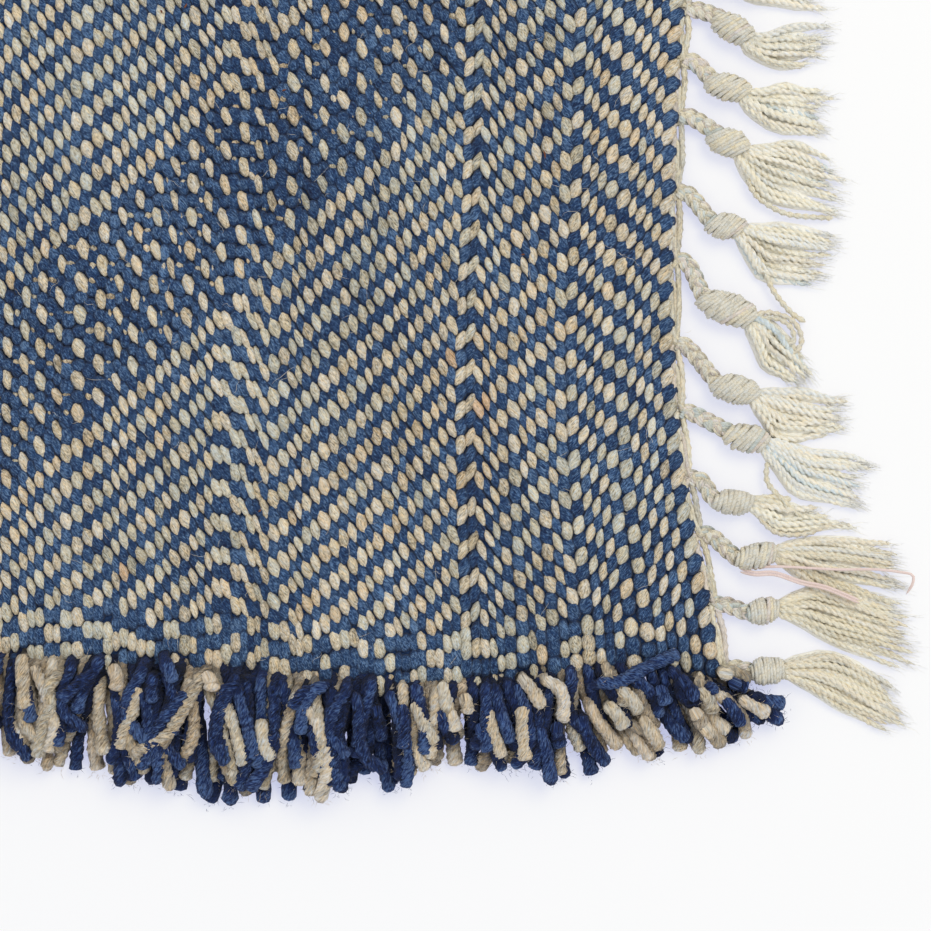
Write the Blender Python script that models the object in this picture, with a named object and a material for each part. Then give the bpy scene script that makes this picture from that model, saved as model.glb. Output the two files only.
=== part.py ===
"""Zanafi rug: a short length of hand-woven wool flatweave, lying flat.

Metres, +Z up. The warp runs along X and the weft along Y. The origin is on the underside, in the
middle of the woven field. The right end (+X) has the warp ends, gathered by an edge cord and
plaited and knotted into tassels. The front side (-Y) has the cut tails of the weft. The other two
sides are plain. Every piece rests on the plane Z = 0.
"""

import math
from collections import namedtuple

import bpy

MM = 0.001

# Woven field: size between the mean lines of its edges
FIELD_LENGTH = 800 * MM
FIELD_WIDTH = 580 * MM
FIELD_THICK = 5.0 * MM
FIELD_SWELL = 0.25 * MM  # how far the face rises and dips
FIELD_RIM = 1.1 * MM  # how far the rounded edge draws in at the face and the back
FIELD_CELLS = (26, 19)  # along X and Y
CELL_CROWDING = 1.35  # above 1, the cells along X get narrower towards the right end

# Cord along the warp end
CORD_CLEARANCE = 0.65 * MM  # beside the field, whose straight-sided cells cut across its curves
CORD_ACROSS = 2.6 * MM
CORD_CENTRE_Z = 2.0 * MM
CORD_SPANS = 60

# Weft fringe
TAIL_PITCH = 13.5 * MM
TAIL_WIDTH = 10.5 * MM  # one tooth of the comb is a clump of two or three tails
FRINGE_CLEARANCE = 0.9 * MM  # beside the field
FRINGE_BAND = 5.0 * MM  # solid strip beside the field that the tails spring from
FRINGE_ROOT_HEIGHT = 9.5 * MM
FRINGE_TIP_HEIGHT = 5.0 * MM
CORNER_FAN = math.radians(58)  # the tails turn outwards by this much at the corner
CORNER_FAN_REACH = 75 * MM  # and stand straight this far from it

# Tassels
TASSEL_CLEARANCE = 0.5 * MM  # beside the cord
TASSEL_SIDES = 8
PLAIT_SIZE = (7.6 * MM, 5.4 * MM)  # width, height
LEAVE_RUN = 3.6 * MM  # a plait starts square to the edge for this far
LEAVE_SHARE = 0.18  # and has then dropped by this share of the way to its knot
KNOT_HEIGHT = 8.6 * MM
TUFT_HEIGHT = 5.6 * MM
TIP_HEIGHT = 3.2 * MM
TIP_SHARE = 0.55  # width of a tuft's end as a share of its widest
PLAIN_TASSEL_PITCH = 22.5 * MM
PLAIN_TASSEL_COUNT = 14

BLUE = (0.045, 0.098, 0.205, 1.0)
NAVY = (0.020, 0.040, 0.100, 1.0)
CREAM = (0.625, 0.560, 0.440, 1.0)
GREY = (0.500, 0.480, 0.460, 1.0)

# How far the right end stands out from its mean line, by distance from the front corner. All in mm.
Drift = namedtuple("Drift", "from_corner outward")
RIGHT_END_DRIFT = [
    Drift(0, 11.2),
    Drift(24, 7.4),
    Drift(45, 2.8),
    Drift(73, -2.8),
    Drift(101, -6.0),
    Drift(136, -7.7),
    Drift(171, -7.0),
    Drift(206, -6.0),
    Drift(241, -3.5),
    Drift(300, -1.0),
    Drift(400, 1.4),
    Drift(500, -0.8),
    Drift(590, 0.6),
]

# How far the front side stands out from its mean line, and how far the tails reach past it,
# by distance from the right corner. All in mm.
Front = namedtuple("Front", "from_corner outward reach")
FRONT_SIDE = [
    Front(0, 9.8, 24),
    Front(18, 4.5, 31),
    Front(36, 2.4, 36),
    Front(60, 4.0, 39),
    Front(78, 7.6, 33),
    Front(100, 8.6, 31),
    Front(123, 7.0, 40),
    Front(148, 5.6, 44),
    Front(165, 3.5, 50),
    Front(204, 0.5, 44),
    Front(253, -0.8, 38),
    Front(330, 1.5, 43),
    Front(420, -1.8, 37),
    Front(500, 1.0, 45),
    Front(590, -1.2, 39),
    Front(680, 2.0, 42),
    Front(820, 0.0, 38),
]

# The tassels nearest the front corner: where each leaves the edge, then how far its knot begins and
# ends, its tuft is widest and its tip lies, to the right (run) and to the front (drop). All in mm.
Tassel = namedtuple(
    "Tassel",
    "from_corner knot_run knot_drop end_run end_drop mid_run mid_drop tip_run tip_drop knot_width tuft_width",
)
CORNER_TASSELS = [
    Tassel(7.7, 11.9, 1.4, 22.8, 0.7, 44, 3.5, 67, 22, 10.2, 16.0),
    Tassel(30.1, 14.4, 3.2, 24.9, 1.8, 47, 7.0, 71, 13, 9.6, 16.5),
    Tassel(55.3, 16.1, 9.1, 29.4, 7.8, 51, 12.5, 77, 19, 9.4, 14.5),
    Tassel(74.6, 11.9, 8.1, 24.9, 9.8, 37, 16.5, 61, 17, 9.2, 6.0),
    Tassel(98.0, 19.3, 7.4, 32.2, 12.4, 49, 22.5, 68, 27, 10.6, 15.5),
    Tassel(121.8, 16.5, 13.6, 30.1, 19.6, 45, 25.5, 60, 28, 11.0, 14.0),
    Tassel(151.2, 12.6, 13.0, 29.1, 22.4, 42, 34.0, 57, 43, 11.8, 15.5),
    Tassel(175.0, 14.4, 10.5, 24.5, 14.7, 40, 21.0, 58, 22, 10.4, 19.5),
    Tassel(201.6, 15.1, 6.0, 24.2, 13.7, 39, 22.0, 57, 31, 11.2, 19.0),
    Tassel(220.9, 12.6, 6.7, 24.2, 13.0, 38, 17.0, 57, 19, 10.6, 15.5),
    Tassel(238.7, 13.7, 2.8, 23.8, 11.2, 37, 13.3, 51, 12, 10.4, 14.5),
    Tassel(257.3, 11.2, 5.3, 21.0, 10.5, 34, 13.7, 50, 18, 10.0, 14.0),
]


def fresh_scene():
    for old in list(bpy.data.objects):
        bpy.data.objects.remove(old)


def finish(name, colour, roughness):
    material = bpy.data.materials.new(name)
    material.use_nodes = True
    shader = material.node_tree.nodes["Principled BSDF"]
    shader.inputs["Base Color"].default_value = colour
    shader.inputs["Roughness"].default_value = roughness
    shader.inputs["Metallic"].default_value = 0.0
    return material


def add_piece(name, points, faces, material, smooth=True):
    mesh = bpy.data.meshes.new(name)
    mesh.from_pydata(points, [], faces)
    mesh.validate()
    if smooth:
        mesh.shade_smooth()
    mesh.materials.append(material)
    piece = bpy.data.objects.new(name, mesh)
    bpy.context.scene.collection.objects.link(piece)
    return piece


def between(rows, column, at):
    """A column of a table of millimetres, in metres, on a smooth curve over its first column."""
    places = [row[0] * MM for row in rows]
    values = [getattr(row, column) * MM for row in rows]
    at = min(max(at, places[0]), places[-1])
    n = max(k for k in range(len(rows) - 1) if places[k] <= at)

    def slope(k):
        low, high = max(k - 1, 0), min(k + 1, len(rows) - 1)
        return (values[high] - values[low]) / (places[high] - places[low])

    span = places[n + 1] - places[n]
    t = (at - places[n]) / span
    start = (2 * t**3 - 3 * t**2 + 1) * values[n] + (t**3 - 2 * t**2 + t) * span * slope(n)
    end = (3 * t**2 - 2 * t**3) * values[n + 1] + (t**3 - t**2) * span * slope(n + 1)
    return start + end


# ---- Edges of the field

CORNER_X = FIELD_LENGTH / 2 + RIGHT_END_DRIFT[0].outward * MM
CORNER_Y = -FIELD_WIDTH / 2 - FRONT_SIDE[0].outward * MM


def right_end(y):
    return FIELD_LENGTH / 2 + between(RIGHT_END_DRIFT, "outward", y - CORNER_Y)


def left_end(y):
    return -FIELD_LENGTH / 2 - 1.2 * MM * math.sin(y / (47 * MM)) - 0.8 * MM * math.cos(y / (19 * MM))


def front_side(x):
    return -FIELD_WIDTH / 2 - between(FRONT_SIDE, "outward", CORNER_X - x)


def back_side(x):
    return FIELD_WIDTH / 2 + 1.4 * MM * math.sin(x / (71 * MM)) + 0.7 * MM * math.cos(x / (23 * MM))


def field_point(u, v):
    """The point of the field a share u along the warp and v along the weft."""
    x = (u - 0.5) * FIELD_LENGTH
    for _ in range(3):
        y = front_side(x) + v * (back_side(x) - front_side(x))
        x = left_end(y) + u * (right_end(y) - left_end(y))
    return x, y


# ---- Pieces


def add_field(material):
    """A flat cloth with a slightly uneven face and rounded edges."""
    across, deep = FIELD_CELLS
    points, faces = [], []

    def is_rim(i, j):
        return i in (0, across) or j in (0, deep)

    def drawn_in(i, j, by):
        x, y = field_point(1 - (1 - i / across) ** CELL_CROWDING, j / deep)
        x += by * ((i == 0) - (i == across))
        y += by * ((j == 0) - (j == deep))
        return x, y

    grid = [(i, j) for i in range(across + 1) for j in range(deep + 1)]
    top, bottom, middle = {}, {}, {}
    for i, j in grid:
        x, y = drawn_in(i, j, FIELD_RIM)
        swell = FIELD_SWELL * (math.sin(x / (53 * MM) + 1.0) * math.cos(y / (41 * MM)) - 1)
        top[i, j] = len(points)
        points.append((x, y, FIELD_THICK + (-0.7 * MM if is_rim(i, j) else swell)))
        bottom[i, j] = len(points)
        points.append((x, y, 0.0))
    ring = [(i, 0) for i in range(across)] + [(across, j) for j in range(deep)]
    ring += [(i, deep) for i in range(across, 0, -1)] + [(0, j) for j in range(deep, 0, -1)]
    for i, j in ring:
        middle[i, j] = len(points)
        points.append((*drawn_in(i, j, 0.0), FIELD_THICK / 2))
    for i in range(across):
        for j in range(deep):
            corners = [(i, j), (i + 1, j), (i + 1, j + 1), (i, j + 1)]
            faces.append([top[c] for c in corners])
            faces.append([bottom[c] for c in reversed(corners)])
    for here, there in zip(ring, ring[1:] + ring[:1]):
        faces.append([bottom[here], bottom[there], middle[there], middle[here]])
        faces.append([middle[here], middle[there], top[there], top[here]])
    return add_piece("woven_field", points, faces, material)


def add_loft(name, path, widths, heights, lifts, sides, material, start_side=None):
    """A closed tube along a level path. Each ring has a width, a height and the Z of its middle.

    start_side is the direction across the first ring, where it isn't square to the path."""
    points, faces = [], []
    last = len(path) - 1
    for n, (x, y) in enumerate(path):
        before, after = path[max(n - 1, 0)], path[min(n + 1, last)]
        run, rise = after[0] - before[0], after[1] - before[1]
        length = math.hypot(run, rise)
        side = (-rise / length, run / length)
        if n == 0 and start_side:
            side = start_side
        for k in range(sides):
            angle = 2 * math.pi * (k + 0.5) / sides
            out = widths[n] / 2 * math.cos(angle) / math.cos(math.pi / sides)
            up = heights[n] / 2 * math.sin(angle) / math.cos(math.pi / sides)
            points.append((x + side[0] * out, y + side[1] * out, lifts[n] + up))
    for n in range(last):
        for k in range(sides):
            a, b = n * sides + k, n * sides + (k + 1) % sides
            faces.append([a, b, b + sides, a + sides])
    faces.append(list(range(sides - 1, -1, -1)))
    faces.append([last * sides + k for k in range(sides)])
    return add_piece(name, points, faces, material)


def add_edge_cord(material):
    """The plied cord beside the warp end, from the front corner to the back one."""
    start, end = CORNER_Y + 1 * MM, back_side(FIELD_LENGTH / 2) - 1 * MM
    path = []
    for n in range(CORD_SPANS + 1):
        y = start + (end - start) * n / CORD_SPANS
        path.append((right_end(y) + CORD_CLEARANCE + CORD_ACROSS / 2, y))
    count = len(path)
    across = [CORD_ACROSS] * count
    return add_loft(
        "warp_edge_cord", path, across, across, [CORD_CENTRE_Z] * count, 6, material
    )


def smooth_path(knots, steps):
    """Points on a smooth curve through knots, with steps[n] spans after knot n."""
    path = []
    for n in range(len(knots) - 1):
        p0, p1, p2 = knots[max(n - 1, 0)], knots[n], knots[n + 1]
        p3 = knots[min(n + 2, len(knots) - 1)]
        for s in range(steps[n]):
            t = s / steps[n]
            path.append(
                tuple(
                    0.5
                    * (
                        2 * b
                        + (c - a) * t
                        + (2 * a - 5 * b + 4 * c - d) * t * t
                        + (3 * b - a - 3 * c + d) * t**3
                    )
                    for a, b, c, d in zip(p0, p1, p2, p3)
                )
            )
    path.append(tuple(knots[-1]))
    return path


def add_tassel(number, row, material):
    """Warp ends gathered into a plait, a wrapped knot and a loose tuft, as one outer form."""
    y = CORNER_Y + row.from_corner * MM
    x = right_end(y)
    root = (x + CORD_CLEARANCE + CORD_ACROSS + TASSEL_CLEARANCE, y)

    def at(run, drop):
        return (x + run * MM, y - drop * MM)

    knots = [
        root,
        (root[0] + LEAVE_RUN, y - LEAVE_SHARE * row.knot_drop * MM),
        at(row.knot_run, row.knot_drop),
        at(row.end_run, row.end_drop),
        at(row.mid_run, row.mid_drop),
        at(row.tip_run, row.tip_drop),
    ]
    path = smooth_path(knots, (1, 2, 3, 3, 2))
    plait_width, plait_height = PLAIT_SIZE
    knot_width, tuft_width = row.knot_width * MM, row.tuft_width * MM
    neck = 0.72 * knot_width
    widths = [0.8 * plait_width, plait_width, plait_width, 0.9 * plait_width]
    widths += [0.95 * knot_width, knot_width, neck]
    widths += [neck + (tuft_width - neck) * share for share in (0.45, 0.8, 1.0)]
    widths += [(1 + TIP_SHARE) / 2 * tuft_width, TIP_SHARE * tuft_width]
    heights = [0.8 * plait_height, plait_height, plait_height, plait_height]
    heights += [0.95 * KNOT_HEIGHT, KNOT_HEIGHT, 0.8 * KNOT_HEIGHT]
    heights += [TUFT_HEIGHT, TUFT_HEIGHT, 0.9 * TUFT_HEIGHT, TIP_HEIGHT, TIP_HEIGHT]
    lifts = [height / 2 for height in heights]
    edge = (right_end(y + 1 * MM) - right_end(y - 1 * MM), 2 * MM)
    edge_length = math.hypot(*edge)
    along_edge = (edge[0] / edge_length, edge[1] / edge_length)
    name = f"tassel_{number:02d}"
    return add_loft(name, path, widths, heights, lifts, TASSEL_SIDES, material, along_edge)


def add_fringe(material):
    """A comb: a band beside the field, and one tooth for each clump of weft tails."""
    right = CORNER_X - 1.5 * MM
    count = round((right + FIELD_LENGTH / 2) / TAIL_PITCH)
    points, top_faces = [], []

    def add(x, y, z):
        points.append((x, y, z))
        return len(points) - 1

    previous = None
    for n in range(count):
        middle = right - (n + 0.5) * TAIL_PITCH
        from_corner = CORNER_X - middle
        lean = CORNER_FAN * max(0.0, 1 - from_corner / CORNER_FAN_REACH) ** 1.5
        lean += math.radians(7) * math.sin(2.3 * n + 0.8)
        reach = between(FRONT_SIDE, "reach", from_corner) * (1 + 0.08 * math.sin(3.7 * n))
        half = TAIL_WIDTH / 2
        rows = []
        for x in (middle + half, middle - half):
            edge = front_side(x) - FRINGE_CLEARANCE
            back = add(x, edge, FRINGE_ROOT_HEIGHT * 0.8)
            front = add(x, edge - FRINGE_BAND, FRINGE_ROOT_HEIGHT)
            rows.append([back, front])
        start = front_side(middle) - FRINGE_BAND
        for share, width in ((0.55, 1.0), (0.9, 0.85)):
            distance = share * reach - FRINGE_BAND
            x = middle + distance * math.sin(lean)
            y = start - distance * math.cos(lean)
            height = FRINGE_ROOT_HEIGHT + (FRINGE_TIP_HEIGHT - FRINGE_ROOT_HEIGHT) * share
            for row, side in zip(rows, (1, -1)):
                out = side * half * width
                row.append(add(x + out * math.cos(lean), y + out * math.sin(lean), height))
        distance = reach - FRINGE_BAND
        tip = add(
            middle + distance * math.sin(lean),
            start - distance * math.cos(lean),
            FRINGE_TIP_HEIGHT,
        )
        right_row, left_row = rows
        for a in range(3):
            top_faces.append([right_row[a], left_row[a], left_row[a + 1], right_row[a + 1]])
        top_faces.append([right_row[3], left_row[3], tip])
        if previous:
            top_faces.append([previous[0], right_row[0], right_row[1], previous[1]])
        previous = left_row
    return add_slab("weft_fringe", points, top_faces, material)


def add_slab(name, top_points, top_faces, material):
    """A closed solid from its top, whose faces run anticlockwise, down to the plane Z = 0."""
    count = len(top_points)
    points = top_points + [(x, y, 0.0) for x, y, _ in top_points]
    faces = list(top_faces) + [[i + count for i in reversed(face)] for face in top_faces]
    sides = {(a, b) for face in top_faces for a, b in zip(face, face[1:] + face[:1])}
    for a, b in sorted(sides):
        if (b, a) not in sides:
            faces.append([b, a, a + count, b + count])
    return add_piece(name, points, faces, material, smooth=False)


def plain_tassel(n):
    """The nth tassel past the corner ones: they lie much alike, swaying a little from one to the next."""
    sway, stretch = math.sin(0.9 * n), math.sin(1.9 * n + 0.6)
    return Tassel(
        from_corner=CORNER_TASSELS[-1].from_corner + (n + 1) * PLAIN_TASSEL_PITCH / MM,
        knot_run=13.5 + 1.5 * stretch,
        knot_drop=7.0 + 2.5 * sway,
        end_run=25.0 + 2.0 * stretch,
        end_drop=12.0 + 3.0 * sway,
        mid_run=40.0 + 2.0 * stretch,
        mid_drop=17.0 + 4.0 * sway,
        tip_run=58.0 + 3.0 * stretch,
        tip_drop=22.0 + 5.5 * sway,
        knot_width=10.5,
        tuft_width=15.0,
    )


def add_tassels(material):
    rows = CORNER_TASSELS + [plain_tassel(n) for n in range(PLAIN_TASSEL_COUNT)]
    for number, row in enumerate(rows, 1):
        add_tassel(number, row, material)


def main():
    fresh_scene()
    add_field(finish("blue_wool", BLUE, 0.9))
    add_edge_cord(finish("warp_wool", GREY, 0.9))
    add_fringe(finish("navy_wool", NAVY, 0.95))
    add_tassels(finish("cream_wool", CREAM, 0.9))


main()
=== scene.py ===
import math
from collections import namedtuple

import bpy
import numpy as np
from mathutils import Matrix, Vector


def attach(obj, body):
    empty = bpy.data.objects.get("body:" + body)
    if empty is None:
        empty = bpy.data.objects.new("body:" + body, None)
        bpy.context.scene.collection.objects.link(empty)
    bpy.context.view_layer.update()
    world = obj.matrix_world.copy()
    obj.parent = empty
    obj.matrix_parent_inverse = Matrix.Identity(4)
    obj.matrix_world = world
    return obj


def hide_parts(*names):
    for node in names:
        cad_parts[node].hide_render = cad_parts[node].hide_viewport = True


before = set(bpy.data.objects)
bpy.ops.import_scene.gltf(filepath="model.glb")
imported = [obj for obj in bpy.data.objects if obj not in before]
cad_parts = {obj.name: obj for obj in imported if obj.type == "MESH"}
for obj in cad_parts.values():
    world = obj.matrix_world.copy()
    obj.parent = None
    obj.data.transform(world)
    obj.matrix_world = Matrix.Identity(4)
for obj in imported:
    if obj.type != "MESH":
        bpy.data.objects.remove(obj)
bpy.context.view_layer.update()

# A length of zanafi rug: a hand-woven wool flatweave in indigo and undyed cream. Everything below is
# in millimetres in the frame's own axes, and turned to metres where a mesh is made. The warp runs
# along X, the weft along Y. "Grains" are the short stretches of weft that show on the face.
MM = 0.001


def table(columns, *rows):
    """Rows of numbers whose columns have names."""
    row_type = namedtuple("Row", columns)
    return [row_type(*row) for row in rows]


# ---- Sizes, the same as in the frame

FIELD_LENGTH = 800.0
FIELD_WIDTH = 580.0
CORD_STAND_OFF = 0.65 + 2.6 + 0.5  # from the end of the field to where a tassel begins
LEAVE_RUN = 3.6  # how far past there a plait first bends,
LEAVE_SHARE = 0.18  # and how much of its knot's drop it has by then
PLAIN_TASSEL_PITCH = 22.5
PLAIN_TASSEL_COUNT = 14
YARN_TURN = 5.6  # length in which the two plies of a warp yarn go once round each other
PLAIT_TURN, PLAIT_LEVEL = 11.0, 3.3  # length in which a plait's strands come round, and its height

# ---- The weave

WARP_PITCH = 2.929  # across the rug
WARP_COUNT = 198
REPEAT = 4  # warps that one cream and one blue grain take up together
FIRST_CREAM = 1.76  # where the cream grains of an unshifted pick lie, in warps from the front side
GROUND_TOP = 3.6  # face of the closed ground under the grains
GRAIN_FOOT = 3.2  # from where a grain rises
CREAM_GRAIN = (7.6, 5.75)  # length and height of its crown
BLUE_GRAIN = (7.3, 5.55)
GRAIN_SLANT = math.radians(20)
LAST_PICK_SLANT = math.radians(30)
CREAM_SPREAD = 1.13  # width of a grain over the room its pick has
BLUE_SPREAD = 1.36
END_CUT = 0.5  # slope of a grain's ends
SPOT_BAND = (84.0, 106.0)  # warps along the stripes where the cream thins out to spots
SPOT_REPEAT = 96.0
TURN_PICK = 10  # the stripes turn back at this pick,
FAULT_PICKS = (21, 22)  # for these two,
MIDDLE_PICK = 127  # and in the middle of the length
FIRST_SPOT_PICK = 23
RAGGED_WARPS = 7.5  # beside the front side the weft lies slack and uneven
END_FADE = 40.0  # how far into the cloth its threads follow the drift of an end
SIDE_FADE = 200.0  # and of a side
BOW, BOW_FROM, BOW_FADE = 3.9, 148.0, 35.0  # how far the picks bow, in front of which line, how sharply
FINE_X = (146.0, 430.0)  # grains in this stretch have their full shape
FINE_Y = (-400.0, -46.0)
FIBRES_BETWEEN = ((160, 398), (-288, -60), (5.6, 6.3))  # in x, y and height, where stray hairs begin

# Rust-coloured stains on the cream, and bits of dry plant spun in with the yarn
STAINS = table(
    "x y reach",
    (300, -196.5, 2.5), (317, -182.5, 3.5), (328.5, -200, 3.0), (203, -260, 3.5), (215.5, -263, 3.0),
    (294, -131, 3.0),
)  # fmt: skip
PLANT_BITS = table(
    "x y length turn",
    (258.0, -90.0, 1.8, 20), (349.0, -112.5, 3.4, 100), (223.5, -60.5, 2.2, 60),
    (215.0, -62.5, 1.6, 120), (294.5, -133.0, 1.8, 100), (249.5, -237.0, 1.6, 40),
    (341.5, -147.5, 1.5, 10),
)  # fmt: skip

# Where picks lie: their number from the right end, and their distance from it
PICK_PLACES = table(
    "pick distance",
    (0, 1.4), (10, 36.6), (22, 76.4), (51, 162.0), (253, 798.2),
)  # fmt: skip

# Picks of thicker or thinner yarn than their neighbours
UNEVEN_PICKS = {
    1: 0.85, 2: 0.85, 3: 0.85, 5: 1.3, 6: 1.2, 7: 0.8, 8: 0.8, 10: 1.2, 11: 1.2, 12: 0.7, 13: 1.3,
    15: 0.6, 16: 1.25, 21: 0.8, 22: 1.15, 30: 0.6, 32: 1.3, 33: 0.6, 34: 1.2,
}  # fmt: skip
SLIPPED_PICKS = (46, 48, 50)  # they lie a little nearer to the front side than their stripes
SPECK_LENGTH, SHORT_LENGTH = 0.5, 0.9  # shorter grains than these are specks darkened with painted shade, or lie straighter

# How far the right end stands out from its mean line, by distance from the front corner
RIGHT_END_DRIFT = table(
    "from_corner outward",
    (0, 11.2), (24, 7.4), (45, 2.8), (73, -2.8), (101, -6.0), (136, -7.7), (171, -7.0), (206, -6.0),
    (241, -3.5), (300, -1.0), (400, 1.4), (500, -0.8), (590, 0.6),
)  # fmt: skip

# How far the front side stands out, and how far the weft's tails reach past it
FRONT_SIDE = table(
    "from_corner outward reach",
    (0, 9.8, 24), (18, 4.5, 31), (36, 2.4, 36), (60, 4.0, 39), (78, 7.6, 33), (100, 8.6, 31),
    (123, 7.0, 40), (148, 5.6, 44), (165, 3.5, 50), (204, 0.5, 44), (253, -0.8, 38), (330, 1.5, 43),
    (420, -1.8, 37), (500, 1.0, 45), (590, -1.2, 39), (680, 2.0, 42), (820, 0.0, 38),
)  # fmt: skip
CORNER_X = FIELD_LENGTH / 2 + RIGHT_END_DRIFT[0].outward
CORNER_Y = -FIELD_WIDTH / 2 - FRONT_SIDE[0].outward
# The weft's tails lie in layers, from the floor up. beside is how far a layer's tails are from the
# middle of their pick, shortest the length of its shortest ones as a share of the reach, indigo the
# share of them that is indigo, and clumping how far that goes up and down along the side. A layer
# has a tail for every pick, or for every so many.
TAIL_LAYERS = table(
    "beside height shortest indigo clumping every",
    (0.0, 1.9, 0.80, 0.42, 0.2, 1),
    (1.1, 3.6, 0.60, 0.66, 0.3, 1),
    (2.2, 5.2, 0.40, 0.76, 0.4, 4),
)
CORNER_FAN = math.radians(58)  # how far the tails at the corner itself lean outward
CORNER_FAN_REACH = 75.0  # and how far from it they still lean

# Tassels nearest the corner: where each leaves the edge, then its knot, its widest place and its tip
Tassel = namedtuple(
    "Tassel",
    "from_corner knot_run knot_drop end_run end_drop mid_run mid_drop tip_run tip_drop"
    " knot_width tuft_width",
)
CORNER_TASSELS = [
    Tassel(7.7, 11.9, 1.4, 22.8, 0.7, 44, 3.5, 67, 22, 10.2, 16.0),
    Tassel(30.1, 14.4, 3.2, 24.9, 1.8, 47, 7.0, 71, 13, 9.6, 16.5),
    Tassel(55.3, 16.1, 9.1, 29.4, 7.8, 51, 12.5, 77, 19, 9.4, 14.5),
    Tassel(74.6, 11.9, 8.1, 24.9, 9.8, 37, 16.5, 61, 17, 9.2, 6.0),
    Tassel(98.0, 19.3, 7.4, 32.2, 12.4, 49, 22.5, 68, 27, 10.6, 15.5),
    Tassel(121.8, 16.5, 13.6, 30.1, 19.6, 45, 25.5, 60, 28, 11.0, 14.0),
    Tassel(151.2, 12.6, 13.0, 29.1, 22.4, 42, 34.0, 57, 43, 11.8, 15.5),
    Tassel(175.0, 14.4, 10.5, 24.5, 14.7, 40, 21.0, 58, 22, 10.4, 19.5),
    Tassel(201.6, 15.1, 6.0, 24.2, 13.7, 39, 22.0, 57, 31, 11.2, 19.0),
    Tassel(220.9, 12.6, 6.7, 24.2, 13.0, 38, 17.0, 57, 19, 10.6, 15.5),
    Tassel(238.7, 13.7, 2.8, 23.8, 11.2, 37, 13.3, 51, 12, 10.4, 14.5),
    Tassel(257.3, 11.2, 5.3, 21.0, 10.5, 34, 13.7, 50, 18, 10.0, 14.0),
]

# How each of those tufts opens: its back and front outline half-way and at the tips, to the right
# (run) and to the front (drop) of where the tassel leaves the edge, and how many yarns it has.
# split is the share of the yarns, from the back, after which it parts in two; turns is how many
# turns of yarn show on its knot and lean how steeply they cross it.
Tuft = namedtuple(
    "Tuft",
    "back_run back_drop front_run front_drop back_tip_run back_tip_drop front_tip_run front_tip_drop"
    " yarns split turns lean",
)
CORNER_TUFTS = [
    Tuft(41, -8, 37, 12, 63, 8, 65, 24, 14, 0.0, 11, 0.05),
    Tuft(39, -7, 37, 11, 70, 0, 72, 23, 13, 0.0, 10, 0.15),
    Tuft(45, 0, 43, 23, 73, 5, 76, 33, 15, 0.0, 11, 0.35),
    Tuft(36, 7, 35, 20, 44, 11, 63, 17, 5, 0.5, 9, 0.20),
    Tuft(51, 14, 41, 30, 70, 19, 66, 36, 13, 0.0, 10, 0.42),
    Tuft(44, 15, 37, 34, 63, 22, 59, 31, 12, 0.0, 12, 0.42),
    Tuft(41, 25, 32, 39, 50, 37, 46, 46, 11, 0.0, 15, 0.48),
    Tuft(40, 11, 30, 32, 61, 15, 53, 33, 11, 0.5, 11, 0.42),
    Tuft(41, 8, 32, 32, 59, 18, 59, 36, 11, 0.7, 10, 0.45),
    Tuft(38, 7, 32, 26, 56, 11, 50, 28, 10, 0.3, 11, 0.50),
    Tuft(35, 6, 35, 20, 54, 6, 47, 19, 10, 0.0, 11, 0.34),
    Tuft(31, 5, 32, 16, 43, 4, 50, 20, 9, 0.0, 11, 0.40),
]

DUSTY_TASSELS = 60.0  # up to this far from the corner the tufts are beige, and none is stained blue

# Single yarns that stray from their tuft: which tassel, and their route from where it leaves the edge
STRAY_YARNS = [
    (8, [(31, 21), (34, 30), (37, 36), (43, 43), (48, 46)]),
    (5, [(33, 18), (33, 25), (38, 31), (45, 37), (54, 38)]),
    (9, [(25, 17), (28, 26), (33, 31), (42, 35), (57, 36)]),
    (7, [(31, 21), (38, 21), (43, 24), (44, 29), (38, 31), (34, 28), (35, 25), (39, 26)]),
    (7, [(30, 20), (36, 19), (44, 22), (47, 29), (43, 34), (36, 33)]),
    (4, [(25, 8), (31, 7), (39, 8)]),
    (4, [(26, 12), (30, 17), (35, 20), (44, 20), (52, 17), (60, 17)]),
    (2, [(26, 0), (33, -3), (41, 0)]),
]
# A doubled sewing thread is knotted on below the third tassel's knot
SEWING_THREAD = [
    [(17, 13), (22, 14), (29, 14), (38, 17), (47, 19), (59, 24)],
    [(17, 14), (22, 15), (29, 15), (38, 18), (47, 20), (59, 25)],
    [(17, 13), (30, 12), (50, 13), (64, 13), (73, 14), (77, 15), (77, 18), (75, 22)],
]
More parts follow.
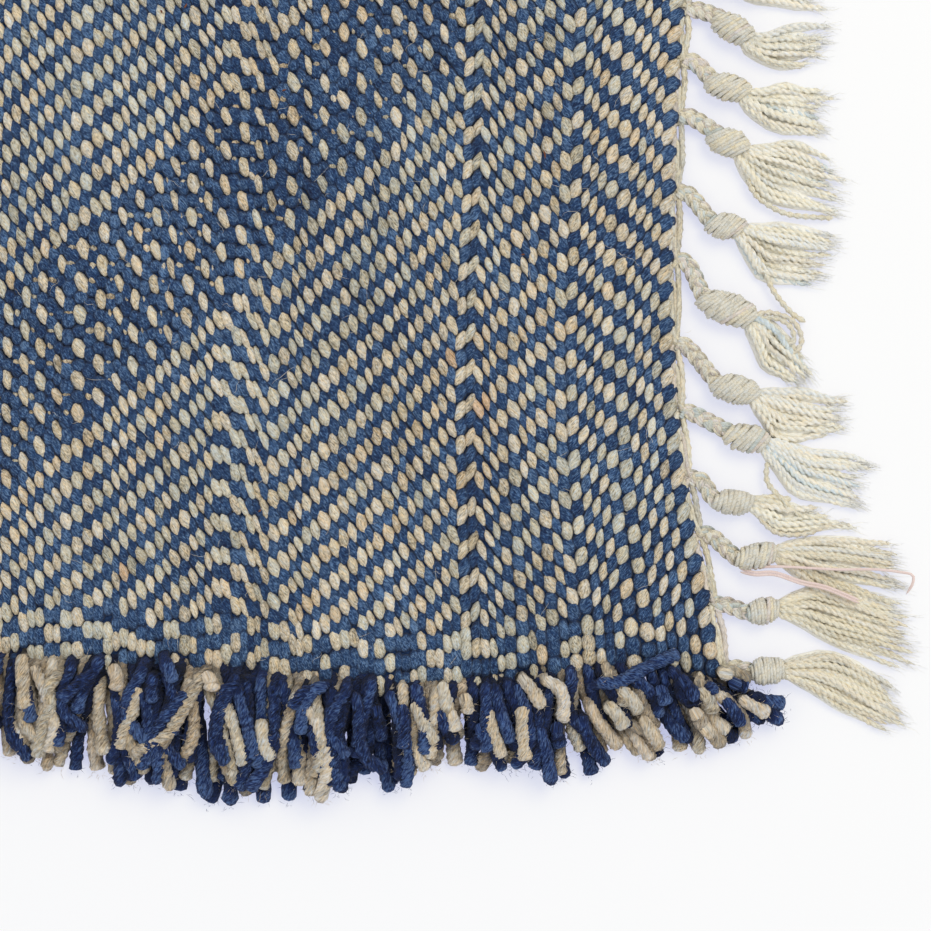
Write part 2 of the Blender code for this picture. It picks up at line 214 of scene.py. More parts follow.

# The upper tails of the fringe, one by one: b for indigo, c for cream, then their routes, each point by
# its distance along from the corner and out from it
UPPER_TAILS = [
    ("c", [(226, -10), (235, -2), (233, 4), (237, 13), (238, 23)]),
    ("b", [(218, -8), (225, -2), (231, 3)]),
    ("c", [(213, -9), (211, -5), (211, 0)]),
    ("c", [(216, -6), (218, 6), (217, 15), (215, 22)]),
    ("c", [(203, -5), (205, 6), (208, 13), (210, 20)]),
    ("b", [(198, -7), (199, -1), (198, 4)]),
    ("b", [(196, -14), (193, -8), (191, -3)]),
    ("b", [(163, -5), (173, -1), (176, 8), (177, 18), (172, 25)]),
    ("b", [(183, -4), (190, 4), (198, 15), (196, 26)]),
    ("c", [(180, -6), (178, -3), (178, 0)]),
    ("c", [(161, 8), (160, 17), (157, 24)]),
    ("b", [(141, -1), (147, 1), (150, 6)]),
    ("b", [(135, -2), (142, -1), (146, 6), (147, 15)]),
    ("b", [(134, -1), (127, 4), (127, 15), (124, 24), (117, 27)]),
    ("b", [(122, 4), (120, 10), (119, 18)]),
    ("b", [(112, 3), (111, 11), (111, 20)]),
    ("c", [(108, 2), (105, 10), (100, 18)]),
    ("b", [(99, 6), (97, 12), (93, 18)]),
    ("c", [(95, 7), (94, 10), (93, 14)]),
    ("c", [(90, 2), (89, 5), (89, 8)]),
    ("c", [(83, 4), (80, 15), (77, 23)]),
    ("b", [(85, 11), (83, 16), (82, 21)]),
    ("b", [(78, 6), (76, 12), (74, 18)]),
    ("c", [(70, 3), (70, 15), (69, 24)]),
    ("c", [(72, -6), (67, -1), (63, 6)]),
    ("c", [(65, -5), (56, 0), (56, 11)]),
    ("b", [(65, 10), (62, 20), (60, 32)]),
    ("b", [(58, 11), (58, 15), (57, 20)]),
    ("b", [(51, 6), (46, 18), (40, 26)]),
    ("c", [(48, 2), (44, 10), (36, 20)]),
    ("c", [(41, 4), (37, 8), (34, 13)]),
    ("b", [(48, 1), (43, -3), (37, -3), (27, -8), (15, -13)]),
    ("b", [(15, -5), (12, -1), (9, 3)]),
    ("b", [(22, -1), (21, 2), (20, 5)]),
    ("c", [(36, -1), (32, 3), (29, 8)]),
    ("c", [(29, 8), (24, 16), (22, 20)]),
    ("c", [(9, -1), (5, 3), (4, 8)]),
    ("c", [(11, 6), (8, 10), (6, 15)]),
    ("c", [(8, 11), (3, 16), (0, 19)]),
    ("b", [(0, 2), (-5, 9), (-6, 12)]),
    ("c", [(2, -6), (-5, -6), (-9, -3)]),
    ("b", [(-3, -3), (-9, -1)]),
    ("b", [(-8, 1), (-12, 3), (-22, 5)]),
    ("b", [(-12, 6), (-18, 9), (-20, 11)]),
    ("c", [(-5, 2), (-10, 5), (-16, 8)]),
]


# ---- Reading the tables, and the edges that follow from them


def reading(rows, column, at):
    """A column of a table, on a smooth curve over the table's first column."""
    places = np.array([row[0] for row in rows], float)
    values = np.array([getattr(row, column) for row in rows], float)
    at = np.clip(at, places[0], places[-1])
    low = np.maximum(np.arange(len(rows)) - 1, 0)
    high = np.minimum(np.arange(len(rows)) + 1, len(rows) - 1)
    slopes = (values[high] - values[low]) / (places[high] - places[low])
    n = np.clip(np.searchsorted(places, at, side="right") - 1, 0, len(rows) - 2)
    span = places[n + 1] - places[n]
    t = (at - places[n]) / span
    start = (2 * t**3 - 3 * t**2 + 1) * values[n] + (t**3 - 2 * t**2 + t) * span * slopes[n]
    end = (3 * t**2 - 2 * t**3) * values[n + 1] + (t**3 - t**2) * span * slopes[n + 1]
    return start + end


def right_end(y):
    return FIELD_LENGTH / 2 + reading(RIGHT_END_DRIFT, "outward", y - CORNER_Y)


def left_end(y):
    return -FIELD_LENGTH / 2 - 1.2 * np.sin(y / 47) - 0.8 * np.cos(y / 19)


def front_side(x):
    return -FIELD_WIDTH / 2 - reading(FRONT_SIDE, "outward", CORNER_X - x)


def back_side(x):
    return FIELD_WIDTH / 2 + 1.4 * np.sin(x / 71) + 0.7 * np.cos(x / 23)


def lie(distance, depth):
    """Where the cloth's threads lie: distance is from the right end's mean line, depth from the front's.

    They follow the drift of the edges that they are near, and bow a little towards the front side."""
    near_right = np.exp(-distance / END_FADE)
    near_left = np.exp(-(FIELD_LENGTH - distance) / END_FADE)
    near_front = np.exp(-((depth / SIDE_FADE) ** 2))
    near_back = np.exp(-(((FIELD_WIDTH - depth) / SIDE_FADE) ** 2))
    x = FIELD_LENGTH / 2 - distance
    for _ in range(3):
        spread = 0.25 * depth
        front = sum(reading(FRONT_SIDE, "outward", CORNER_X - x + k * spread) for k in range(-2, 3)) / 5
        back = back_side(x) - FIELD_WIDTH / 2
        y = depth - FIELD_WIDTH / 2 - front * near_front + back * near_back
        bow = BOW / 2 * (1 + np.tanh((-y - BOW_FROM) / BOW_FADE)) * (1 - near_right) * (1 - near_left)
        x = FIELD_LENGTH / 2 - distance - bow
        x = x + (right_end(y) - FIELD_LENGTH / 2) * near_right
        x = x + (left_end(y) + FIELD_LENGTH / 2) * near_left
    return x, y


# ---- Making meshes and materials

Form = namedtuple("Form", "corners sizes plan points")


def spindle(rings, sides):
    """The faces of a strand: a point, rings of sides points, and a point, and a plan of its skin."""
    last = 1 + rings * sides
    faces, plan = [], []
    for k in range(sides):
        here, there = k / sides, (k + 1) / sides
        low = [1 + (k + 1) % sides, 1 + k]
        faces.append([0, *low])
        plan += [((here + there) / 2, 0), (there, 1 / (rings + 1)), (here, 1 / (rings + 1))]
        for r in range(rings - 1):
            a, b = 1 + r * sides + k, 1 + r * sides + (k + 1) % sides
            faces.append([a, b, b + sides, a + sides])
            v, w = (r + 1) / (rings + 1), (r + 2) / (rings + 1)
            plan += [(here, v), (there, v), (there, w), (here, w)]
        top = 1 + (rings - 1) * sides
        faces.append([top + k, top + (k + 1) % sides, last])
        v = rings / (rings + 1)
        plan += [(here, v), (there, v), ((here + there) / 2, 1)]
    corners = np.array([c for face in faces for c in face])
    sizes = np.array([len(face) for face in faces])
    return Form(corners, sizes, np.array(plan), last + 1)


class Bundle:
    """Strands gathered up to be one piece. Each strand keeps its own notes for the materials:

    lay is a place in the strand's own terms, round it and along it, so that fibres follow it;
    tint is how light or dark its dye took, with painted shade and painted light in it for the specks
    and the fringe; hue picks one of a material's yarns; crown sets the painted shade, 0 in a crease or
    under other strands and 1 on top."""

    def __init__(self):
        self.lots = []

    def add(self, form, points, lay, tint, hue=0.5, crown=1.0, finish=0):
        even = np.ones(points.shape[:2])
        notes = [even * np.reshape(v, (-1, 1)) if np.ndim(v) < 2 else v for v in (tint, hue, crown)]
        self.lots.append((form, points, lay, *notes, finish, len(points)))

    def make(self, name, finishes):
        points, corners, sizes, lots, plans = [], [], [], [], []
        notes = {"lay": [], "tint": [], "hue": [], "crown": []}
        strands = sum(lot[-1] for lot in self.lots)
        across = math.ceil(math.sqrt(strands))
        start, number = 0, 0
        for form, place, lay, tint, hue, crown, finish, count in self.lots:
            points.append(place.reshape(-1, 3))
            first = start + form.points * np.arange(count)[:, None]
            corners.append((form.corners[None] + first).ravel())
            sizes.append(np.tile(form.sizes, count))
            lots.append(np.full(count * len(form.sizes), finish))
            for key, values in zip(notes, (lay, tint, hue, crown)):
                notes[key].append(values.reshape(-1, 3) if key == "lay" else values.ravel())
            cell = number + np.arange(count)
            origin = np.stack([cell % across, cell // across], 1)[:, None]
            plans.append(((origin + 0.06 + 0.88 * form.plan[None]) / across).reshape(-1, 2))
            start += form.points * count
            number += count
        mesh = bpy.data.meshes.new(name)
        place = np.concatenate(points)
        mesh.vertices.add(len(place))
        mesh.vertices.foreach_set("co", (place * MM).astype(np.float32).ravel())
        corners, sizes = np.concatenate(corners), np.concatenate(sizes)
        mesh.loops.add(len(corners))
        mesh.loops.foreach_set("vertex_index", corners.astype(np.int32))
        mesh.polygons.add(len(sizes))
        mesh.polygons.foreach_set("loop_start", (np.cumsum(sizes) - sizes).astype(np.int32))
        mesh.polygons.foreach_set("material_index", np.concatenate(lots).astype(np.int32))
        mesh.update(calc_edges=True)
        for key, values in notes.items():
            kind, field = ("FLOAT_VECTOR", "vector") if key == "lay" else ("FLOAT", "value")
            attribute = mesh.attributes.new(key, kind, "POINT")
            attribute.data.foreach_set(field, np.concatenate(values).astype(np.float32).ravel())
        plan = mesh.uv_layers.new(name="OFBake")
        plan.data.foreach_set("uv", np.concatenate(plans).astype(np.float32).ravel())
        return cloth_piece(name, mesh, finishes)


def put_in_scene(name, data):
    placed = bpy.data.objects.new(name, data)
    bpy.context.scene.collection.objects.link(placed)
    return placed


def cloth_piece(name, mesh, finishes):
    """A piece of the rug, made of a mesh. All of them ride on the one body."""
    mesh.shade_smooth()
    for finish in finishes:
        mesh.materials.append(finish)
    piece = put_in_scene(name, mesh)
    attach(piece, "root")
    return piece


def on_skin(values, sides):
    """Values at the points of strands, handed on to the points of their skins."""
    return np.concatenate([values[:, :1], np.repeat(values[:, 1:-1], sides, 1), values[:, -1:]], 1)


def linear(hex_colour):
    """The scene's linear colour for an sRGB hex colour."""
    parts = [int(hex_colour[i : i + 2], 16) / 255 for i in (1, 3, 5)]
    return [c / 12.92 if c <= 0.04045 else ((c + 0.055) / 1.055) ** 2.4 for c in parts] + [1.0]


def fill_in(node, values):
    """Sets a node's inputs. A value may be the output of another node."""
    for key, value in values.items():
        if isinstance(value, bpy.types.NodeSocket):
            node.id_data.links.new(value, node.inputs[key])
        else:
            node.inputs[key].default_value = value


def wool(name, colours, fibre, relief, streaks, shade, sheen, hues=None, hue_share=1.0, casts=None):
    """Spun wool: matt and a little downy, so it has sheen and no shine, streaked along its fibres.

    colours run from its creases to its lightest fibres. fibre is the width and length of one lock of
    fibres, and relief how far it stands up. streaks is how much the locks differ, and shade how much
    of its lightness is left at the bottom of a crease. hues are those of its yarns, and hue_share how
    much they tell. casts are the coolest and the warmest of its fibres."""
    material = bpy.data.materials.new(name)
    material.use_nodes = True
    tree = material.node_tree

    def put(kind, settings, inputs, out=0):
        made = tree.nodes.new("ShaderNode" + kind)
        for key, value in settings.items():
            setattr(made, key, value)
        fill_in(made, inputs)
        return made.outputs[out]

    def note(key, out="Fac"):
        return put("Attribute", {"attribute_name": key}, {}, out)

    def noise(where, scale, detail, roughness):
        spread = {"Vector": where, "Scale": scale, "Detail": detail, "Roughness": roughness}
        return put("TexNoise", {}, spread, "Fac")

    def reckon(operation, *values):
        return put("Math", {"operation": operation}, dict(enumerate(values)))

    def ramp(level, stops):
        shown = put("ValToRGB", {}, {"Fac": level})
        elements = shown.node.color_ramp.elements
        for n, (place, colour) in enumerate(stops):
            stop = elements[n] if n < 2 else elements.new(place)
            stop.position, stop.color = place, linear(colour)
        return shown

    def multiply(share, under, over):
        settings = {"data_type": "RGBA", "blend_type": "MULTIPLY"}
        return put("Mix", settings, {0: share, 6: under, 7: over}, 2)

    width, length = fibre
    lay, tint, crown = note("lay", "Vector"), note("tint"), note("crown")
    combed = put("Mapping", {}, {"Vector": lay, "Scale": (1 / width, 1 / width, 1 / length)})
    streak = noise(combed, 1.0, 2.0, 0.6)
    # the dye: the strand's tint, which in places holds painted light and shade, then its fibres, then
    # slow changes along it, all about one half
    fibres = reckon("MULTIPLY_ADD", streak, streaks, -0.5 * streaks - 0.2)
    dye = reckon("MULTIPLY_ADD", noise(lay, 0.3, 1.0, 0.5), 0.4, fibres)
    dye = reckon("ADD", tint, dye)
    # painted shade: the colour darkens where crown is low, in the creases and under other strands
    clear = put("MapRange", {}, {"Value": crown, "From Max": 0.6, "To Min": shade, "To Max": 1.0})
    crease, body, light = colours
    level = reckon("MULTIPLY", dye, clear)
    colour = ramp(level, [(0.0, crease), (1.0, light), (0.5, body)])
    if hues:
        stops = [(n / len(hues), hue) for n, hue in enumerate(hues)]
        yarn = ramp(note("hue"), [stops[0], stops[-1]] + stops[1:-1])
        yarn.node.color_ramp.interpolation = "CONSTANT"
        colour = multiply(hue_share, colour, yarn)
    if casts:
        mixed = noise(combed, 0.45, 2.0, 0.7)
        colour = multiply(1.0, colour, ramp(mixed, [(0.32, casts[0]), (0.68, casts[1])]))
    bump = put("Bump", {}, {"Height": streak, "Strength": 1.0, "Distance": relief * MM})
    fill_in(
        tree.nodes["Principled BSDF"],
        {
            "Base Color": colour,
            "Normal": bump,
            "Roughness": 0.95,
            "Specular IOR Level": 0.2,
            "Sheen Weight": sheen,
            "Sheen Roughness": 0.6,
        },
    )
    return material


CREAM_HUES = ["#ecf4f6", "#f6faf7", "#fffdf8", "#fffbf0", "#fff5e6", "#ffe6d0"]
CREAM_CASTS = ("#e0eafa", "#fff2dc")
CREAM_WOOL = wool(
    "handspun_cream_wool", ("#70695c", "#ddd1b9", "#fffcf2"), (0.36, 1.2), 0.5, 2.1, 0.56, 0.10,
    CREAM_HUES, 1.0, CREAM_CASTS,
)  # fmt: skip
INDIGO_WOOL = wool(
    "indigo_dyed_wool", ("#08173a", "#25446a", "#7090b2"), (0.38, 1.2), 0.6, 2.5, 0.25, 0.10,
    casts=("#e6f2ff", "#fff2ea"),
)  # fmt: skip
# the ground's indigo is darker than the weft's: partly its own dye, partly painted shade of the gaps
# between the grains, where it shows
GROUND_WOOL = wool("indigo_ground_wool", ("#0b1a34", "#1b2f50", "#2c4468"), (0.7, 1.5), 0.4, 1.5, 1.0, 0.0)
CREAM_ROVING = wool(
    "soft_cream_roving", ("#4a4038", "#dccdb4", "#fffaf0"), (0.6, 1.3), 1.1, 1.7, 0.15, 0.20,
    CREAM_HUES, 0.7, CREAM_CASTS,
)  # fmt: skip
INDIGO_ROVING = wool(
    "soft_indigo_roving", ("#04060f", "#1c3160", "#5c7aa6"), (0.6, 1.3), 1.1, 2.2, 0.08, 0.06,
    casts=("#e6f0ff", "#fff0ea"),
)  # fmt: skip
# undyed warp of several fleeces: cream, grey, faintly pink and, here and there, stained blue
WARP_HUES = ["#fffbea", "#fbf8ea", "#fdf8ea", "#f3f4f0", "#f4eeee", "#fbf8ea", "#dde9ee"]
WARP_WOOL = wool(
    "plied_warp_wool", ("#938c7d", "#ebe5d5", "#fffef8"), (0.35, 2.0), 0.3, 1.2, 0.45, 0.12,
    WARP_HUES, 0.9, ("#eef4ff", "#fff8ec"),
)  # fmt: skip
LOOSE_WOOL = wool("loose_warp_fibre", ("#e6e0cc", "#fbf7e8", "#fffffa"), (0.35, 4.0), 0.4, 1.2, 0.9, 0.4)
PINK_THREAD = wool("pink_sewing_thread", ("#a88f86", "#dfc7bc", "#f5e8e1"), (0.15, 0.5), 0.1, 0.8, 0.8, 0.0)
PLANT = wool("dry_plant", ("#4a2a1a", "#7a4a30", "#a06a48"), (0.3, 1.0), 0.1, 1.0, 0.8, 0.0)


# ---- Strands


def unit(v):
    return v / np.maximum(np.linalg.norm(v, axis=-1, keepdims=True), 1e-9)


def smooth_route(knots, count, blunt=0.0, ease=0):
    """Points on a smooth curve through a route's own points, evenly spaced.

    A blunt end has its last points close together. ease softens the bends, so many times over."""
    knots = np.asarray(knots, float)
    ends = np.concatenate([knots[:1], knots, knots[-1:]])
    t = np.linspace(0, 1, 12, endpoint=False)[:, None]
    fine = []
    for a, b, c, d in zip(ends, ends[1:], ends[2:], ends[3:]):
        bend, twist = 2 * a - 5 * b + 4 * c - d, 3 * b - a - 3 * c + d
        fine.append(0.5 * (2 * b + (c - a) * t + bend * t**2 + twist * t**3))
    fine = np.concatenate([*fine, knots[-1:]])
    for _ in range(ease):
        fine[1:-1] = (fine[:-2] + 2 * fine[1:-1] + fine[2:]) / 4
    run = np.concatenate([[0], np.cumsum(np.linalg.norm(np.diff(fine, axis=0), axis=1))])
    at = np.linspace(0, run[-1], count)
    if blunt:
        at = np.append(np.linspace(0, run[-1] - blunt, count - 2), (run[-1] - 0.35 * blunt, run[-1]))
    return np.stack([np.interp(at, run, fine[:, k]) for k in range(knots.shape[1])], 1)


def add_strands(
    bundle, paths, radius, dice, sides=6, plies=1, pitch=5.5, fibre_turn=0.0, depth=0.42,
    tint=0.5, hue=0.5, crown=1.0, finish=0, upright=(0, 0, 1), ends=0.35, flat=1.0,
    outside=None,
):
    """Strands of yarn along paths, all with as many points. Two plies turn about each other.

    pitch is the length of a turn of the plies and depth that of their groove, fibre_turn the length
    of a turn of the fibres, ends how blunt the ends are, flat how much height is left, and outside
    the angle, round a strand, of the side that is in the light among its neighbours."""
    paths = np.asarray(paths, float)
    count, steps = paths.shape[:2]
    rings = steps - 2
    ahead = unit(np.gradient(paths, axis=1))
    side = unit(np.cross(np.broadcast_to(np.asarray(upright, float), ahead.shape), ahead))
    over = np.cross(ahead, side)
    step = np.linalg.norm(np.diff(paths, axis=1), axis=2)
    along = np.concatenate([np.zeros((count, 1)), np.cumsum(step, 1)], 1)
    seed = dice.uniform(0, 50, (count, 1))
    phase = 2 * math.pi * along / pitch + 2.4 * seed if plies > 1 else np.zeros_like(along)
    base = 2 * math.pi * np.arange(sides) / sides
    if plies > 1:
        lobes = 1 - depth * np.sin(base) ** 2
    else:
        lobes, base = np.ones(sides), base - math.pi / 2
    radius = np.broadcast_to(radius, (count, steps))
    taper = np.ones(steps)
    taper[[1, -2]] = 0.5 + ends / 2
    r = (radius * taper)[:, 1:-1, None] * lobes
    angle = phase[:, 1:-1, None] + base
    out, up = r * np.cos(angle), r * np.sin(angle) * flat
    skin = paths[:, 1:-1, None] + side[:, 1:-1, None] * out[..., None]
    skin = skin + over[:, 1:-1, None] * up[..., None]
    points = np.concatenate([paths[:, :1], skin.reshape(count, rings * sides, 3), paths[:, -1:]], 1)
    turn = angle - (2 * math.pi * along / fibre_turn)[:, 1:-1, None] if fibre_turn else angle
    place = np.broadcast_to(along[:, 1:-1, None] + 40 * seed[:, :, None], turn.shape)
    ring = np.stack([r * np.cos(turn), r * np.sin(turn), place], -1).reshape(count, rings * sides, 3)
    tip = np.zeros((count, 1, 3))
    tip[..., 2] = 40 * seed
    bottom = tip.copy()
    bottom[..., 2] += along[:, -1:]
    lay = np.concatenate([tip, ring, bottom], 1)
    light = None
    if plies > 1:  # the groove between two plies is in shade
        light = 1 - min(0.8, 2.4 * depth) * np.sin(base) ** 4
    elif outside is not None:
        light = (0.5 + 0.5 * np.cos(base - outside)) ** 1.5
    if light is not None:
        light = np.broadcast_to(light, r.shape).reshape(count, -1)
        light = np.concatenate([np.ones((count, 1)), light, np.ones((count, 1))], 1)
        crown = light * (crown if np.ndim(crown) == 2 else np.reshape(crown, (-1, 1)))
    bundle.add(spindle(rings, sides), points, lay, tint, hue, crown, finish)


def add_down(bundle, starts, ends, dice, sag, radius, tint, finish=0, steps=5):
    """Loose fibres from starts to ends, each with a bend of its own."""
    t = np.linspace(0, 1, steps)[None, :, None]
    bend = dice.normal(0, sag, (len(starts), 1, 3)) * (1, 1, 0.3)
    sway = dice.normal(0, sag * 0.4, (len(starts), 1, 3)) * (1, 1, 0.2)
    paths = starts[:, None] + (ends - starts)[:, None] * t + 2 * bend * t * (1 - t)
    paths = paths + sway * np.sin(2 * math.pi * t)
    paths[..., 2] = np.maximum(paths[..., 2], 0.2)
    add_strands(bundle, paths, radius, dice, sides=3, tint=tint, finish=finish)


# ---- The woven field


def pick_distances():
    """Where every pick lies and how much room it has, measured from the right end."""
    dice = np.random.default_rng(3)
    count = PICK_PLACES[-1].pick + 1
    thick = dice.choice([0.72, 0.92, 1.05, 1.25], count) + dice.uniform(-0.06, 0.06, count)
    for pick, share in UNEVEN_PICKS.items():
        thick[pick] = share
    distance = np.zeros(count)
    for a, b in zip(PICK_PLACES, PICK_PLACES[1:]):
        room = (thick[a.pick : b.pick] + thick[a.pick + 1 : b.pick + 1]) / 2
        share = np.concatenate([[0], np.cumsum(room)]) / room.sum()
        distance[a.pick : b.pick + 1] = a.distance + share * (b.distance - a.distance)
    return distance, np.gradient(distance) * 0.5 + 0.5 * thick * 3.2


def stripe_offset(pick):
    """How many warps a pick's grains are shifted along it. This draws the zigzag."""
    pick = np.asarray(pick)
    after = TURN_PICK + 1
    shift = np.where(pick <= TURN_PICK, pick - TURN_PICK, TURN_PICK - pick)
    shift = np.where(pick == FAULT_PICKS[0], -9, np.where(pick == FAULT_PICKS[1], -10, shift))
    shift = np.where(pick > FAULT_PICKS[1], after - pick, shift)
    shift = np.where(pick == after, -0.7, shift)
    return np.where(pick >= MIDDLE_PICK, pick - 2 * MIDDLE_PICK + after, shift)


def leans_right(pick):
    return (pick <= TURN_PICK) | np.isin(pick, FAULT_PICKS) | (pick >= MIDDLE_PICK)


# The columns of the table of grains: the pick, the place along it in warps, 0 for cream or 1 for
# indigo, and the shares of a grain's full length and width
PICK, PLACE, KIND, LENGTH, WIDTH = range(5)


def plan_grains():
    """A table of every grain of the face, and the picks' distances and room."""
    dice = np.random.default_rng(5)
    distance, room = pick_distances()
    picks = np.arange(len(distance))
    offset = stripe_offset(picks)
    turns = np.arange(-40, 110)  # more than enough of them for every shift
    pick, turn = [a.ravel() for a in np.meshgrid(picks, turns, indexing="ij")]
    stripe = FIRST_CREAM + REPEAT * turn
    even = pick % 2 == 0
    shift = offset[pick] + np.where(even, 0.05, -0.05)
    in_band = (stripe - SPOT_BAND[0]) % SPOT_REPEAT < SPOT_BAND[1] - SPOT_BAND[0]
    in_band &= (stripe >= SPOT_BAND[0]) & (pick >= FIRST_SPOT_PICK)
    slipped = np.isin(pick, SLIPPED_PICKS) & (stripe + shift < 150 - 1.3 * pick / 2)
    where = stripe + shift + np.where(slipped, -1.2, 0)
    lots = []

    def lot(chosen, beside, *kind_and_size):
        row = [np.full(int(chosen.sum()), value) for value in kind_and_size]
        lots.append(np.stack([pick[chosen], where[chosen] + beside, *row], 1))

    lot(~in_band, 0, 0, 1.0, 1.0)
    lot(~in_band, 2, 1, 1.0, 1.0)
    lot(in_band & ~even, 0, 0, 1.0, 1.05)
    lot(in_band & ~even, 2, 1, 0.68, 1.1)
    stagger = dice.normal(0, 0.25, len(picks))[pick[in_band & even]]
    lot(in_band & even, stagger, 1, 0.92, 1.05)
    lot(in_band & even, 2 + stagger, 1, 0.92, 1.05)
    # specks of the cream pick behind show between the spots
    for beside in (1, 3):
        speck = in_band & even & (dice.random(len(pick)) < 0.55)
        lot(speck, beside + dice.normal(0, 0.12, int(speck.sum())), 0, 0.34, 0.5)
    grains = np.concatenate(lots)
    small = grains[:, LENGTH] < SPECK_LENGTH
    grains[small, LENGTH] *= dice.uniform(0.6, 1.5, small.sum())
    grains[small, WIDTH] *= dice.uniform(0.6, 2.0, small.sum())
    grains = grains[(grains[:, PLACE] > 0.2) & (grains[:, PLACE] < WARP_COUNT - 0.3)]
    # beside the front side the picks pack in twos and threes, out of line, with faults in the colour
    ragged = np.clip((RAGGED_WARPS - grains[:, PLACE]) / 3, 0, 1)
    number = grains[:, PICK].astype(int)
    slide = np.zeros(len(picks))
    first = 0
    while first < len(picks):
        bunch = picks[first : first + dice.integers(2, 4)]
        slide[bunch] = offset[bunch].mean() - offset[bunch]
        first = bunch[-1] + 1
    grains[:, PLACE] += ragged * (slide[number] + dice.uniform(-0.3, 0.3, len(grains)))
    grains[:, LENGTH] *= 1 + ragged * dice.uniform(-0.1, 0.12, len(grains))
    grains[:, WIDTH] *= 1 + 0.12 * ragged
    fault = dice.random(len(grains)) < 0.09 * ragged
    grains[fault, KIND] = 1 - grains[fault, KIND]
    grains[:, PLACE] += dice.normal(0, 0.07, len(grains))
    grains[:, LENGTH] *= dice.uniform(0.93, 1.07, len(grains))
    return grains[np.argsort(grains[:, PICK], kind="stable")], distance, room


def grain_hues(x, y, dice):
    """Which of the fleece's shades each cream grain has: rust where a stain is, or else by chance."""
    hue = np.clip(dice.normal(0.40, 0.15, len(x)) + 0.15 * np.sin(x / 23 - y / 31), 0, 0.8)
    for stain in STAINS:
        near = np.hypot(x - stain.x, y - stain.y) < stain.reach
        hue[near] = 0.99
    return hue


